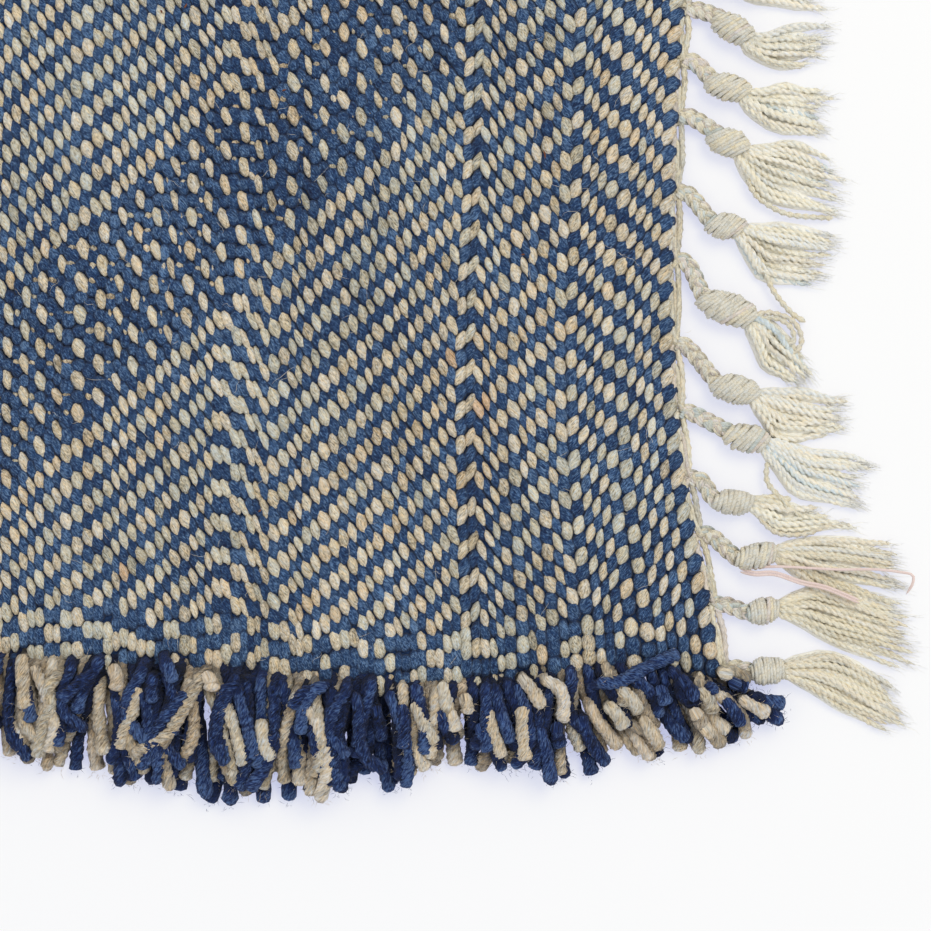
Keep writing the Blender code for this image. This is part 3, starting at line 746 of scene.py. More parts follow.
def add_grains(bundle, grains, distance, room, full, dice):
    """Pointed pillows of yarn, each over its two warps, slanting the way its pick was turned.

    Grains that need not have their full shape have fewer faces."""
    count = len(grains)
    number = grains[:, PICK].astype(int)
    depth = grains[:, PLACE] * WARP_PITCH
    x, y = lie(distance[number], depth)
    x2, y2 = lie(distance[number], depth + 1.0)
    along = unit(np.stack([x2 - x, y2 - y], 1))
    across = np.stack([along[:, 1], -along[:, 0]], 1)
    is_blue, right = grains[:, KIND] > 0.5, leans_right(number)
    short = grains[:, LENGTH] < SHORT_LENGTH
    slack = np.clip((RAGGED_WARPS - grains[:, PLACE]) / 4, 0, 1)
    length = np.where(is_blue, BLUE_GRAIN[0], CREAM_GRAIN[0]) * grains[:, LENGTH]
    spread = np.where(is_blue, BLUE_SPREAD, CREAM_SPREAD * (1 + 0.15 * slack))
    width = room[number] * spread * grains[:, WIDTH]
    top = np.where(is_blue, BLUE_GRAIN[1], CREAM_GRAIN[1]) + dice.normal(0, 0.12, count)
    top -= 0.9 * np.clip(0.75 - grains[:, LENGTH], 0, 1)
    slant = np.where(right, GRAIN_SLANT, -GRAIN_SLANT) + dice.normal(0, 0.06, count)
    slant = np.where(number == 0, LAST_PICK_SLANT, slant)
    slant = np.where(short, slant * 0.5, slant)
    slant *= np.clip(grains[:, PLACE] / RAGGED_WARPS - 0.2, 0.1, 1)
    if full:
        t = np.array([-0.86, -0.5, 0.0, 0.5, 0.86])
        section = np.array([(0, -0.15), (-1, 0.38), (-0.62, 0.86), (0, 1), (0.62, 0.86), (1, 0.38)])
    else:
        t = np.array([-0.62, 0.62])
        section = np.array([(-1, 0.4), (0, 1), (1, 0.4)])
        width *= np.where(is_blue, 1.12, 1.32)
    # cream grains come to a point, and indigo ones fill the room between them
    fullness = np.where(is_blue, 3.2, 2.1)[:, None]
    narrow = (1 - np.abs(t) ** fullness) ** np.where(is_blue, 0.55, 0.75)[:, None]
    rise = (1 - np.abs(t) ** 2.4) ** np.where(is_blue, 0.42, 0.25)[:, None]
    half = length[:, None] / 2
    shape = (count, len(t), len(section))
    drift = half * np.tan(slant)[:, None] * (1.2 * t - 0.2 * t**3)
    a = (width[:, None] / 2 * narrow)[:, :, None] * section[:, 0]
    h = np.broadcast_to(rise[:, :, None] * section[:, 1], shape)
    z = GRAIN_FOOT + (top - GRAIN_FOOT)[:, None, None] * h
    # the ends of a grain are cut off along the stripe, so a stripe's grains lie side by side
    cut = np.where(right, -END_CUT, END_CUT) * np.where(short, 0.3, 1.0)
    cut = cut * np.clip(grains[:, PLACE] / RAGGED_WARPS, 0.1, 1)
    l = (half * t)[:, :, None] + cut[:, None, None] * a
    if full:
        a += dice.normal(0, 0.09, shape)
        l = l + dice.normal(0, 0.09, shape)
        z = z + dice.normal(0, 0.06, shape) * (section[:, 1] > 0)
    middle = np.stack([x, y], 1)[:, None, None]
    flat = middle + along[:, None, None] * l[..., None]
    flat = flat + across[:, None, None] * (drift[:, :, None] + a)[..., None]
    ring = np.concatenate([flat, z[..., None]], -1).reshape(count, -1, 3)
    # the yarn was spun, so its fibres run askew to the grain
    spin = (np.where(is_blue, 0.5, 0.35) * np.where(right, 1, -1))[:, None, None]
    seed = dice.uniform(0, 900, (count, 1, 1))
    lay = [np.stack([a - spin * l, z - GRAIN_FOOT, l + spin * a + seed], -1).reshape(count, -1, 3)]
    points = [ring]
    for end, at in ((-1, 0), (1, 2)):
        spot = middle[:, 0, 0] + along * (end * half) + across * (end * half * np.tan(slant)[:, None])
        points.insert(at, np.concatenate([spot, np.full((count, 1), GRAIN_FOOT)], 1)[:, None])
        reach = end * half[..., None]
        lay.insert(at, np.concatenate([-spin * reach, 0 * seed, reach + seed], -1))
    # painted shade: crown falls from a grain's top to its edges and ends, and the materials darken it
    # there, more steeply on indigo grains
    low = np.full((count, 1), 0.0 if full else 0.25)
    steep = np.where(is_blue, 2.5, 1.2)[:, None, None] if full else 1.0
    crown = np.concatenate([low, (np.maximum(h, 0) ** steep).reshape(count, -1), low], 1)
    slow = 0.5 + 0.05 * np.cos((x - 195) / 29) * (1 + np.tanh((y + 200) / 90)) / 2
    slow += 0.04 * np.sin(x / 17 + y / 29)
    yarn = dice.uniform(-0.06, 0.06, len(room))[number]
    tint = slow + yarn + dice.normal(0, 0.06, count)
    # painted shade: specks of the pick behind, seen between the grains, are made darker
    tint = np.where(grains[:, LENGTH] < SPECK_LENGTH, tint - 0.2, tint)
    form = spindle(len(t), len(section))
    bundle.add(form, np.concatenate(points, 1), np.concatenate(lay, 1), tint, grain_hues(x, y, dice), crown)


def weave_face():
    grains, distance, room = plan_grains()
    x, y = lie(distance[grains[:, PICK].astype(int)], grains[:, PLACE] * WARP_PITCH)
    near = (x > FINE_X[0]) & (x < FINE_X[1]) & (y > FINE_Y[0]) & (y < FINE_Y[1])
    for kind, colour, finish in ((0, "cream", CREAM_WOOL), (1, "indigo", INDIGO_WOOL)):
        for name, chosen, full in (("corner", near, True), ("field", ~near, False)):
            bundle = Bundle()
            mine = grains[chosen & (grains[:, KIND] == kind)]
            add_grains(bundle, mine, distance, room, full, np.random.default_rng(20 + kind))
            bundle.make(f"{colour}_weft_{name}", [finish])


def ground_cloth():
    """The closed ground that the grains stand on, plain and flat underneath."""
    across, deep, rim = 60, 44, 1.0

    def sheet_points(inset, height):
        u, v = np.meshgrid(np.linspace(0, 1, across + 1), np.linspace(0, 1, deep + 1), indexing="ij")
        x = (u - 0.5) * FIELD_LENGTH
        for _ in range(3):
            y = front_side(x) + inset + v * (back_side(x) - front_side(x) - 2 * inset)
            x = left_end(y) + inset + u * (right_end(y) - left_end(y) - 2 * inset)
        return np.stack([x, y, np.full_like(x, height)], -1)

    top, bottom = sheet_points(rim, GROUND_TOP), sheet_points(rim, 0.0)
    middle = sheet_points(0.3, GROUND_TOP / 2)
    index = np.arange((across + 1) * (deep + 1)).reshape(across + 1, deep + 1)
    count = index.size
    ring = np.concatenate([index[:-1, 0], index[-1, :-1], index[:0:-1, -1], index[0, :0:-1]])
    points = np.concatenate([top.reshape(-1, 3), bottom.reshape(-1, 3), middle.reshape(-1, 3)[ring]])
    corners = (index[:-1, :-1], index[1:, :-1], index[1:, 1:], index[:-1, 1:])
    square = np.stack([part.ravel() for part in corners], 1)
    mid = 2 * count + np.arange(len(ring))
    after, mid_after = np.roll(ring, -1), np.roll(mid, -1)
    faces = np.concatenate(
        [
            square,
            square[:, ::-1] + count,
            np.stack([ring + count, after + count, mid_after, mid], 1),
            np.stack([mid, mid_after, after, ring], 1),
        ]
    )
    mesh = bpy.data.meshes.new("ground_cloth")
    mesh.from_pydata((points * MM).tolist(), [], faces.tolist())
    for key in ("tint", "crown", "hue"):
        note = mesh.attributes.new(key, "FLOAT", "POINT")
        note.data.foreach_set("value", np.full(len(points), 0.6, np.float32))
    lay = mesh.attributes.new("lay", "FLOAT_VECTOR", "POINT")
    lay.data.foreach_set("vector", points.astype(np.float32).ravel())
    piece = cloth_piece("ground_cloth", mesh, [GROUND_WOOL])
    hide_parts("woven_field")
    return piece


# ---- The warp end: edge strands, plaits, knots and tufts


def plain_tassel(n):
    """The nth tassel past the corner ones: they lie much alike, swaying a little from one to the next."""
    sway, stretch = math.sin(0.9 * n), math.sin(1.9 * n + 0.6)
    return Tassel(
        from_corner=CORNER_TASSELS[-1].from_corner + (n + 1) * PLAIN_TASSEL_PITCH,
        knot_run=13.5 + 1.5 * stretch,
        knot_drop=7.0 + 2.5 * sway,
        end_run=25.0 + 2.0 * stretch,
        end_drop=12.0 + 3.0 * sway,
        mid_run=40.0 + 2.0 * stretch,
        mid_drop=17.0 + 4.0 * sway,
        tip_run=58.0 + 3.0 * stretch,
        tip_drop=22.0 + 5.5 * sway,
        knot_width=10.5,
        tuft_width=15.0,
    )


def plain_tuft(row):
    half = row.tuft_width / 2
    return Tuft(
        row.mid_run, row.mid_drop - half, row.mid_run, row.mid_drop + half,
        row.tip_run, row.tip_drop - 0.6 * half, row.tip_run - 2, row.tip_drop + 0.6 * half,
        10, 0.0, 11, 0.42,
    )  # fmt: skip


ALL_TASSELS = CORNER_TASSELS + [plain_tassel(n) for n in range(PLAIN_TASSEL_COUNT)]


def tassel_root(row):
    y = CORNER_Y + row.from_corner
    return float(right_end(y)), y


def add_plait(bundle, route, dice, fine):
    """Three strands of parallel ends, plaited flat."""
    length = np.linalg.norm(np.diff(route, axis=0), axis=1).sum()
    steps = 34 if fine else 16
    line = smooth_route(route, steps)
    line = np.concatenate([line, np.full((steps, 1), PLAIT_LEVEL)], 1)
    ahead = unit(np.gradient(line, axis=0))
    side = unit(np.cross((0, 0, 1.0), ahead))
    at = np.linspace(0, length, steps)
    start = dice.uniform(0, 6)
    ends = 4 if fine else 2
    paths, hues = [], []
    strand_hues = dice.uniform(0.4, 0.95, 3)
    for strand in range(3):
        phase = start + 2 * math.pi * (at / PLAIT_TURN + strand / 3)
        width = np.interp(at, [0, 4, length], [1.1, 1.35, 1.35])
        middle = line + side * (width * np.sin(phase))[:, None]
        middle[:, 2] += 1.15 * np.sin(2 * phase)
        forward = unit(np.gradient(middle, axis=0))
        beside = unit(np.cross((0, 0, 1.0), forward))
        for end in range(ends):
            shift = (end - (ends - 1) / 2) * (0.8 if fine else 1.5)
            path = middle + beside * shift
            path[:, 2] -= 0.2 * shift**2
            paths.append(path)
            hues.append(strand_hues[strand] + dice.normal(0, 0.12))
    paths = np.array(paths)
    # painted shade: strands are darker where they pass low under the others, and on their undersides
    under = np.clip((paths[..., 2] - 1.9) / 2.6, 0.25, 1)
    sides = 6 if fine else 4
    add_strands(
        bundle, paths, 0.62 if fine else 1.0, dice, sides, fibre_turn=3.0, outside=math.pi / 2, ends=0.8,
        tint=dice.uniform(0.3, 0.7, len(paths)), hue=np.clip(hues, 0, 1), crown=on_skin(under, sides),
    )


def add_knot(bundle, start, end, width, turns, lean, dice, fine):
    """An egg of fine yarn, wound askew round the ends that it binds."""
    start, end = np.array([*start, 4.3]), np.array([*end, 4.2])
    ahead = unit(end - start)
    length = np.linalg.norm(end - start) + 1.5
    centre = (start + end) / 2
    side = np.cross((0, 0, 1.0), ahead)
    t = np.linspace(0, 1, int(turns * (14 if fine else 8)))
    angle = 2 * math.pi * turns * t
    half = length / 2
    thread = 0.60 * length / turns
    reach = half - 0.8 * thread
    slide = (2 * t - 1) * reach
    r_side, r_up = width / 2 - thread * 0.7, 3.7

    def girth(s):
        s = np.clip(0.95 * s / reach, -1, 1)
        return np.sqrt(1 - s**2) * 0.85 + 0.15

    turn, rounds = (turns * t).astype(int), int(turns) + 2
    r = girth(slide) * (1 + dice.normal(0, 0.04, rounds)[turn])
    tilt = (lean + dice.normal(0, 0.07, rounds)[turn]) * np.cos(angle) * width / 2 * r
    path = centre + ahead * (slide + tilt)[:, None] + side * (r_side * r * np.cos(angle))[:, None]
    path[:, 2] += r_up * r * np.sin(angle)
    path[:, 2] = np.maximum(path[:, 2], 0.7)
    sides = 6 if fine else 4
    bands = np.where(dice.random(rounds) < 0.25, dice.uniform(0, 0.99, rounds), 0.5)[turn]
    # painted shade: each turn of yarn is darker on the side away from its outside, in the grooves
    add_strands(
        bundle, path[None], thread, dice, sides, tint=0.5, hue=on_skin(bands[None], sides),
        upright=ahead, fibre_turn=4.0, outside=math.pi, ends=0.9,
    )
    # what it is wound on, with a low tint and crown: painted shade of the knot's inside, seen between
    # the turns
    core = np.linspace(-half + 1, half - 1, 9)
    line, radius = centre + ahead * core[:, None], girth(core) * (width / 2 - thread * 1.4)
    add_strands(bundle, line[None], radius, dice, sides=8, tint=0.2, hue=0.2, crown=0.5, flat=0.8)


def add_tuft(bundle, row, tuft, root, dice, fine):
    """Two-ply yarns that come out of the knot, fan, and open into loose fibre at their ends."""
    knot_end = np.array([row.end_run, row.end_drop], float)
    heading = unit(knot_end - (row.knot_run, row.knot_drop))
    square = np.array([heading[1], -heading[0]])
    count = round(1.3 * tuft.yarns) if fine else 7
    share = (np.arange(count) + dice.uniform(0.25, 0.75, count)) / count
    if tuft.split:
        share = np.where(share < tuft.split, share * 0.9, 1 - (1 - share) * 0.9)
    steps = 42 if fine else 18
    paths = []
    back_mid, front_mid = np.array(tuft[0:2], float), np.array(tuft[2:4], float)
    back_tip, front_tip = np.array(tuft[4:6], float), np.array(tuft[6:8], float)
    for s in share:
        out = (s - 0.5) * 2
        mid = back_mid + (front_mid - back_mid) * (0.06 + 0.88 * s) + dice.normal(0, 0.7, 2)
        tip = back_tip + (front_tip - back_tip) * s + dice.normal(0, 1.4, 2)
        tip = mid + (tip - mid) * dice.uniform(0.8, 1.02)
        leave = knot_end - square * out * 0.30 * row.knot_width
        knots = [knot_end - heading * 3, leave + heading, (leave + heading * 5 + mid) / 2, mid]
        knots += [(mid + tip) / 2 + dice.normal(0, 0.8, 2), tip]
        layer = dice.uniform(0, 1)
        high = 1.4 + 3.6 * layer * (1 - 0.5 * abs(out))
        lifts = [3.5, 3.6 + layer * 1.5, high + 0.8, high, 0.7 * high]
        lifts.append(0.6 + 0.5 * high * dice.uniform(0.5, 1))
        paths.append(smooth_route(np.column_stack([knots, lifts]), steps, ease=60))
    paths = np.array([*root, 0.0]) + np.array(paths) * (1, -1, 1)
    wander = dice.normal(0, 0.16, (count, 8, 3)) * (1, 1, 0.4)
    grid = np.linspace(0, 7, steps)
    low = np.clip(grid.astype(int), 0, 6)
    blend = (grid - low)[None, :, None]
    paths = paths + wander[:, low] * (1 - blend) + wander[:, low + 1] * blend
    body = np.interp(np.linspace(0, 1, steps), [0, 0.1, 0.6, 0.9, 1.0], [0.8, 1.0, 1.0, 0.92, 0.5])
    radius = (1.3 if fine else 1.55) * body[None] * dice.uniform(0.88, 1.1, (count, 1))
    paths[..., 2] = np.maximum(paths[..., 2], radius * 0.7)
    dusty = row.from_corner < DUSTY_TASSELS
    tint = dice.uniform(0.8, 1.05, count) - (0.32 if dusty else 0.0)
    stained = dice.random(count) < (0.0 if dusty else 0.12)
    hue = np.where(stained, 0.95, dice.uniform(0, 0.5, count))
    sides = 8 if fine else 5
    add_strands(
        bundle, paths, radius, dice, sides, 2, YARN_TURN, depth=0.40, tint=tint, hue=hue, ends=0.5
    )
    # between them lies wool that has come out of them
    under = paths[:, :: 4 if fine else 3].copy()
    under[..., 2] = 1.2
    swell = np.interp(np.linspace(0, 1, under.shape[1]), [0, 0.25, 0.7, 1.0], [0.5, 1.0, 1.0, 0.2])
    add_strands(bundle, under, 2.0 * swell, dice, tint=0.45, finish=1, flat=0.6, ends=0.4)
    # the ends come unspun
    hairs = 10 if fine else 5
    yarn = np.repeat(np.arange(count), hairs)
    last = steps - 1
    start_at = dice.integers(int(0.75 * last), int(0.97 * last), len(yarn))
    starts = paths[yarn, start_at] + dice.normal(0, 0.35, (len(yarn), 3)) * (1, 1, 0.5)
    heading = unit(paths[yarn, last] - paths[yarn, last - 6 if fine else last - 3])
    onward = dice.uniform(0.15, 1.0, (len(yarn), 1)) * 4.5
    finish_at = paths[yarn, np.minimum(start_at + int(0.2 * last), last)]
    ends = finish_at + heading * onward + dice.normal(0, 1.3, (len(yarn), 3)) * (1, 1, 0.5)
    ends[:, 2] = np.clip(ends[:, 2], 0.3, 5)
    add_down(bundle, starts, ends, dice, sag=0.8, radius=0.14 if fine else 0.25, finish=1, tint=0.7)


def add_tassel(number, row, tuft, fine):
    """One tassel as one piece, from the edge to its loose ends."""
    dice = np.random.default_rng(100 + number)
    bundle = Bundle()
    x, y = tassel_root(row)
    root = (x + CORD_STAND_OFF - 1.2, y)
    leave = (x + CORD_STAND_OFF + LEAVE_RUN, y - LEAVE_SHARE * row.knot_drop)
    knot = (x + row.knot_run, y - row.knot_drop)
    knot_end = (x + row.end_run, y - row.end_drop)
    add_plait(bundle, [root, leave, knot, (np.array(knot) * 2 + knot_end) / 3], dice, fine)
    add_knot(bundle, knot, knot_end, row.knot_width, tuft.turns, tuft.lean, dice, fine)
    add_tuft(bundle, row, tuft, (x, y), dice, fine)
    for mine, route in STRAY_YARNS:
        if mine != number:
            continue
        lift = np.linspace(3.8, 1.6, len(route))
        path = smooth_route(np.column_stack([route, lift]), 52) * (1, -1, 1) + (x, y, 0)
        hue = dice.uniform(0, 0.5)
        add_strands(bundle, path[None], 1.15, dice, 8, 2, YARN_TURN, tint=0.7, hue=hue, ends=0.5)
    finishes = [WARP_WOOL, LOOSE_WOOL]
    if number == 3:
        finishes.append(PINK_THREAD)
        for route in SEWING_THREAD:
            lift = np.concatenate([[3.0], np.full(len(route) - 2, 6.4), [4.5]])
            path = smooth_route(np.column_stack([route, lift]), 48) * (1, -1, 1) + (x, y, 0)
            add_strands(bundle, path[None], 0.52, dice, tint=0.6, finish=2)
    piece = bundle.make(f"tassel_yarns_{number:02d}", finishes)
    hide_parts(f"tassel_{number:02d}")
    return piece


def edge_warps():
    """Where the warps leave the last pick, they turn along the edge to the nearest plait."""
    dice = np.random.default_rng(7)
    bundle = Bundle()
    roots = np.array([tassel_root(row)[1] for row in ALL_TASSELS])
    exits = CORNER_Y + 4 + WARP_PITCH * np.arange(WARP_COUNT - 1)
    steps = 14
    paths = []
    for y in exits:
        below = roots[roots < y + 2.0]
        goal = below.max() if len(below) else roots.min()
        if abs(roots - y).min() < 5:
            goal = roots[abs(roots - y).argmin()]
        x = float(right_end(y))
        far = abs(goal - y)
        bulge = 1.3 + dice.uniform(0, 1.3)
        towards = np.sign(goal - y)
        near = y + towards * min(3.5, far * 0.35)
        late = goal - towards * min(4.0, far * 0.3)
        tie = right_end(goal) + CORD_STAND_OFF
        knots = [
            (x - 1.5, y + 0.4, 2.6),
            (x + 0.6, y + 0.3 * towards, 3.0),
            (right_end(near) + bulge, near, 3.3 + dice.uniform(-0.8, 1.0)),
            (right_end(late) + bulge + 0.2, late, 2.9 + dice.uniform(-0.8, 1.2)),
            (tie - 0.4, goal + dice.uniform(-1.6, 1.6), 3.2 + dice.uniform(-1, 1)),
            (tie + 2.0, goal + dice.uniform(-1.2, 1.2), 3.2),
        ]
        paths.append(smooth_route(knots, steps))
    paths = np.array(paths)
    count = len(paths)
    add_strands(
        bundle, paths, 0.75, dice, sides=4, fibre_turn=3.0, ends=0.8,
        tint=dice.uniform(0.3, 0.55, count), hue=dice.uniform(0, 0.8, count),
    )
    # two plied strands lie along the whole edge and are caught in at every plait
    ends = np.concatenate([roots, [FIELD_WIDTH / 2 - 3]])
    paths = []
    for low, high in zip(ends, ends[1:]):
        for beside, bow in ((0.7, 0.4), (2.8, 1.1)):
            at, arch = np.linspace(high, low, 6), np.sin(np.linspace(0, math.pi, 6))
            out = right_end(at) + beside + bow * arch + dice.normal(0, 0.15, 6)
            rise = 3.7 - 0.35 * beside + dice.normal(0, 0.15, 6)
            paths.append(smooth_route(np.stack([out, at, rise], 1), 22))
    count = len(paths)
    add_strands(
        bundle, paths, 1.4, dice, 6, 2, YARN_TURN, depth=0.34, ends=0.9,
        tint=dice.uniform(0.3, 0.55, count), hue=dice.uniform(0.1, 0.8, count),
    )
    piece = bundle.make("edge_warps", [WARP_WOOL])
    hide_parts("warp_edge_cord")
    return piece


# ---- The fringe of weft tails

Tail = namedtuple("Tail", "colour route thick")


def plan_tails():
    """The cut tails near the corner and those further off, each from the lowest up."""
    dice = np.random.default_rng(9)
    near, far = [], []
    distance, _ = pick_distances()
    for layer in TAIL_LAYERS:
        for n in [*range(0, len(distance), 2), *range(1, len(distance), 2)][:: layer.every]:
            clump = math.sin(n / 2.3 + 1.4 * math.sin(n / 7.0))
            x, y = (float(part) for part in lie(distance[n] + layer.beside, 1.0))
            from_corner = CORNER_X - x
            lean = CORNER_FAN * max(0.0, 1 - from_corner / CORNER_FAN_REACH) ** 1.5
            lean += dice.normal(0, 0.04 * layer.height) + 0.22 * math.sin(n / 1.7 + layer.height)
            reach = float(reading(FRONT_SIDE, "reach", from_corner)) * dice.uniform(layer.shortest, 1.0)
            colour = "indigo" if dice.random() < layer.indigo + layer.clumping * clump else "cream"
            high = layer.height + dice.uniform(0, 0.7)
            out = np.array([math.sin(lean), -math.cos(lean)])
            curl = np.array([-out[1], out[0]]) * dice.normal(0, 0.6 * layer.height)
            spot = np.array([x, y])
            route = [
                [*(spot + (0, 3.5)), 2.2],
                [*(spot + (0, 0.8)), 2.9],
                [*(spot + out * 4), high],
                [*(spot + out * 0.35 * reach + curl * 0.6), high + 0.5],
                [*(spot + out * 0.7 * reach + curl), high],
                [*(spot + out * reach - curl * 0.4), 1.9 + 0.6 * (high - 1.9)],
            ]
            tail = Tail(colour, route, 2.6 * dice.uniform(0.92, 1.1))
            (near if x > FINE_X[0] - 4 else far).append(tail)
    for colour, route in UPPER_TAILS:
        spots = np.array([(CORNER_X - along, CORNER_Y - out) for along, out in route])
        rise = np.interp(np.linspace(0, 1, len(spots)), [0, 0.25, 1], [6.3, 8.0, 4.5])
        named = "indigo" if colour == "b" else "cream"
        near.append(Tail(named, np.column_stack([spots, rise]), 2.7 * dice.uniform(0.95, 1.05)))
    return near, far


def pile_up(paths, thick):
    """Lifts each tail over those laid before it: soft yarn, it sinks in a little and bridges gaps."""
    root, soft, low, high = 3, 0.7, 6.0, 6.5
    for n in range(1, len(paths)):
        gap = np.linalg.norm(paths[n, :, None, None, :2] - paths[None, :n, :, :2], axis=-1)
        room = 0.85 * (thick[n] + thick[:n])[None, :, None]
        over = paths[:n, :, 2] + soft * room * (1 - (gap / room) ** 2)
        rise = np.maximum(paths[n, :, 2], np.where(gap < room, over, 0).max(axis=(1, 2)))
        rise[:root] = paths[n, :root, 2]
        for _ in range(4):
            rise[root:-1] = np.maximum(rise[root:-1], (rise[root - 1 : -2] + rise[root + 1 :]) / 2)
        paths[n, :, 2] = rise
    # the whole heap is pressed down to the height of the plaits
    tall = np.maximum(paths[..., 2] - low, 0)
    paths[..., 2] += high * np.tanh(tall / (1.6 * high)) - tall


def daylight(paths):
    """How much light each point of each tail gets from above, past the tails that cross over it."""
    every = paths.reshape(-1, 3)
    light = np.ones(paths.shape[:2])
    for n, path in enumerate(paths):
        gap = np.linalg.norm(path[:, None, :2] - every[None, :, :2], axis=-1)
        covers = ((gap < 3.4) & (every[None, :, 2] > path[:, None, 2] + 0.7)).sum(1)
        light[n] = 1 / (1 + 0.6 * covers)
    return light


def fringe():
    """Cut ends of the weft's soft two-ply yarn, in loose layers."""
    dice = np.random.default_rng(19)
    near, far = plan_tails()
    for where, tails, steps, sides, hairs in (("corner", near, 17, 8, 50), ("plain", far, 9, 5, 0)):
        paths = np.array([smooth_route(tail.route, steps, blunt=1.7, ease=12) for tail in tails])
        thick = np.array([tail.thick for tail in tails])
        pile_up(paths, thick)
        # painted shade: tails are darker where other tails cover them, and near their roots under the
        # weave; it goes into both their tint and their crown
        light = daylight(paths) * np.interp(np.arange(steps), [0, 0.3 * steps], [0.4, 1.0])
        for named, finish, dye, tip_light in (
            ("indigo", INDIGO_ROVING, 0.40, 0.3),
            ("cream", CREAM_ROVING, 0.46, 0.15),
        ):
            mine = np.array([tail.colour == named for tail in tails])
            bundle = Bundle()
            chosen, count = paths[mine], int(mine.sum())
            lump = 1 + dice.normal(0, 0.06, (count, steps))
            bloom = np.interp(np.arange(steps), [0, 0.6 * steps, steps - 2], [0.92, 1.0, 1.12])
            radius = thick[mine][:, None] * lump * bloom
            chosen[..., 2] = np.maximum(chosen[..., 2], radius * 0.92)
            # painted light: the tips, which stick out over the lit floor, are made lighter
            tip = np.interp(np.arange(steps), [0.6 * steps, steps], [0.0, tip_light])
            own = dice.uniform(-0.16, 0.16, (count, 1))
            tint = dye + 0.12 * light[mine] + own + tip
            add_strands(
                bundle, chosen, radius, dice, sides, 2, 19.0, fibre_turn=18.0, depth=0.12, ends=0.5,
                tint=on_skin(tint, sides), hue=dice.uniform(0.2, 0.8, count),
                crown=on_skin(light[mine], sides),
            )
            if hairs:
                tail = np.repeat(np.arange(count), hairs)
                at = dice.integers(int(steps * 0.25), steps, len(tail))
                about = unit(dice.normal(0, 1, (len(tail), 3)) * (1, 1, 0.8) + (0, 0, 0.3))
                starts = chosen[tail, at] + about * thick[mine][tail][:, None] * 0.85
                ends = starts + about * dice.uniform(0.4, 1.8, (len(tail), 1))
                ends += dice.normal(0, 1.1, (len(tail), 3))
                ends[:, 2] = np.maximum(ends[:, 2], 0.3)
                add_down(bundle, starts, ends, dice, sag=0.5, radius=0.10, tint=0.6, steps=3)
            bundle.make(f"{named}_fringe_{where}", [finish])
    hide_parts("weft_fringe")


# ---- Loose fibre on the face


def face_fibres():
    """Stray hairs on the seen part of the face, and the bits of plant."""
    dice = np.random.default_rng(13)
    bundle = Bundle()
    count = 420
    starts = np.stack([dice.uniform(*span, count) for span in FIBRES_BETWEEN], 1)
    turn = dice.uniform(0, 2 * math.pi, count)
    long = dice.uniform(2, 8, count)
    way = [np.cos(turn) * long, np.sin(turn) * long, dice.uniform(-0.5, 0.5, count)]
    ends = starts + np.stack(way, 1)
    is_blue = dice.random(count) < 0.5
    for kind in (0, 1):
        mine = is_blue == kind
        add_down(bundle, starts[mine], ends[mine], dice, 1.2, 0.05, tint=0.8, finish=kind, steps=6)
    for bit in PLANT_BITS:
        turn = math.radians(bit.turn)
        way = np.array([math.cos(turn), math.sin(turn), 0.0]) * bit.length / 2
        middle = np.array([bit.x, bit.y, 5.9])
        path = smooth_route([middle - way, middle + (0.15, 0.1, 0.1), middle + way], 6)
        add_strands(bundle, path[None], 0.3, dice, sides=4, finish=2)
    bundle.make("loose_face_fibres", [CREAM_WOOL, INDIGO_WOOL, PLANT])


# ---- Studio

# Here the sizes are in metres
FLOOR_REACH, FLOOR_LEVEL = 4.0, -0.0004
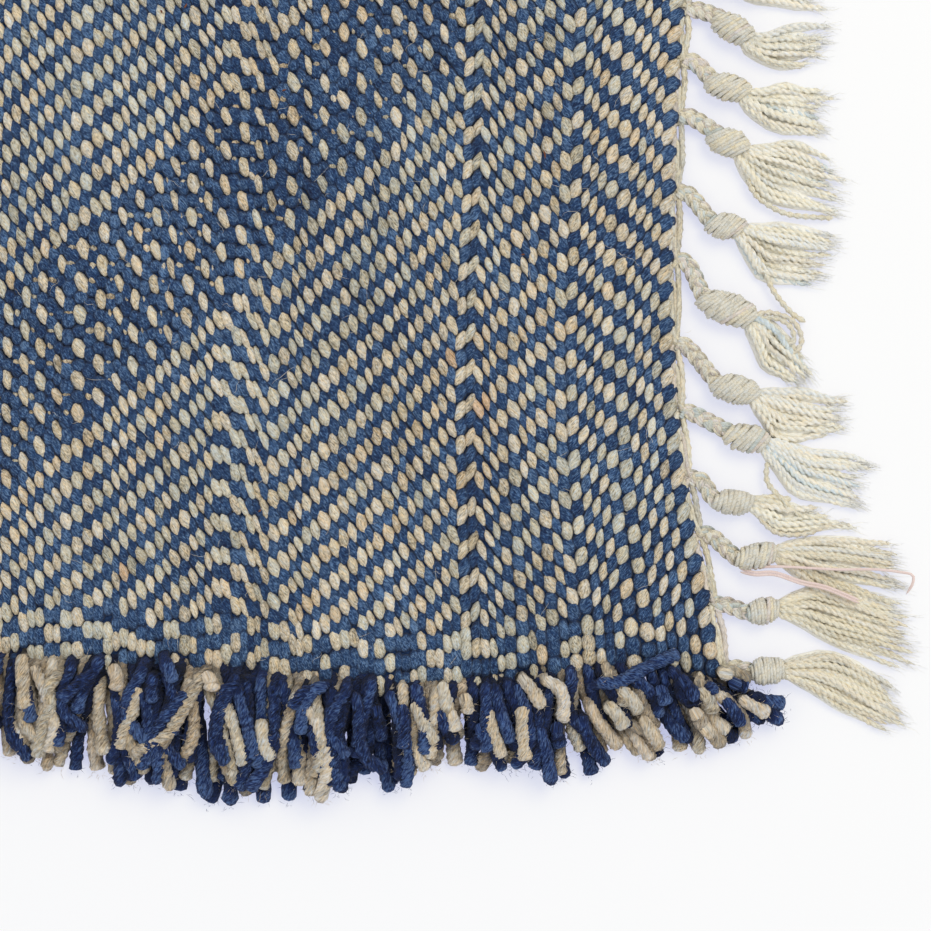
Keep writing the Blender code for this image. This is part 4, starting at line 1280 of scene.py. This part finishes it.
# The floor glows, a painted glow: its own bluish glow and the warm lamp on its yellowish base add up to
# white, and where the lamp is shaded the glow makes the shadow blue
FLOOR = {
    "Base Color": (0.52, 0.485, 0.25, 1),
    "Emission Color": (0.597, 0.645, 0.99, 1),
    "Emission Strength": 0.70,
    "Roughness": 0.9,
    "Specular IOR Level": 0.1,
}
SKY = {"Color": (0.90, 0.925, 1.0, 1), "Strength": 0.89}
LAMP_COLOUR, LAMP_WIDTH, LAMP_WATTS = (1.0, 0.95, 0.82), 1.6, 30.0
LAMP_AIM, LAMP_WAY, LAMP_FAR = (0.25, -0.15, 0.0), (0.42, 0.50, 1.0), 3.0
EYE_OVER = (0.3214, -0.2212)  # what the camera looks straight down on,
SEEN_LEVEL, SEEN_WIDTH = 0.005, 0.32585  # and how wide a stretch it sees at that height


def studio():
    """Lit white acrylic, a soft lamp from the back right and a pale sky."""
    corners = ((-1, -1), (1, -1), (1, 1), (-1, 1))
    spots = [(x * FLOOR_REACH, y * FLOOR_REACH, FLOOR_LEVEL) for x, y in corners]
    mesh = bpy.data.meshes.new("studio_floor")
    mesh.from_pydata(spots, [], [(0, 1, 2, 3)])
    acrylic = bpy.data.materials.new("lit_white_acrylic")
    acrylic.use_nodes = True
    fill_in(acrylic.node_tree.nodes["Principled BSDF"], FLOOR)
    mesh.materials.append(acrylic)
    put_in_scene("studio_floor", mesh)

    lamp = bpy.data.lights.new("soft_key", "AREA")
    lamp.shape, lamp.size, lamp.energy, lamp.color = "SQUARE", LAMP_WIDTH, LAMP_WATTS, LAMP_COLOUR
    key = put_in_scene("soft_key", lamp)
    aim = np.array(LAMP_AIM)
    key.location = aim + LAMP_FAR * unit(np.array(LAMP_WAY))
    key.rotation_euler = (Vector(aim) - key.location).to_track_quat("-Z", "Y").to_euler()

    world = bpy.data.worlds.new("studio")
    world.use_nodes = True
    fill_in(world.node_tree.nodes["Background"], SKY)
    bpy.context.scene.world = world
    bpy.context.scene.view_settings.view_transform = "Standard"


def camera():
    """Straight down over the front right corner."""
    view = bpy.data.cameras.new("camera")
    view.lens, view.sensor_width = 85.0, 36.0
    eye = put_in_scene("camera", view)
    eye.location = (*EYE_OVER, SEEN_LEVEL + SEEN_WIDTH * view.lens / view.sensor_width)
    bpy.context.scene.camera = eye


camera()
studio()
cloth = ground_cloth()
weave_face()
edge_warps()
for tassel_number, tassel_row in enumerate(ALL_TASSELS, 1):
    near_corner = tassel_number <= len(CORNER_TUFTS)
    opening = CORNER_TUFTS[tassel_number - 1] if near_corner else plain_tuft(tassel_row)
    add_tassel(tassel_number, tassel_row, opening, near_corner)
fringe()
face_fibres()
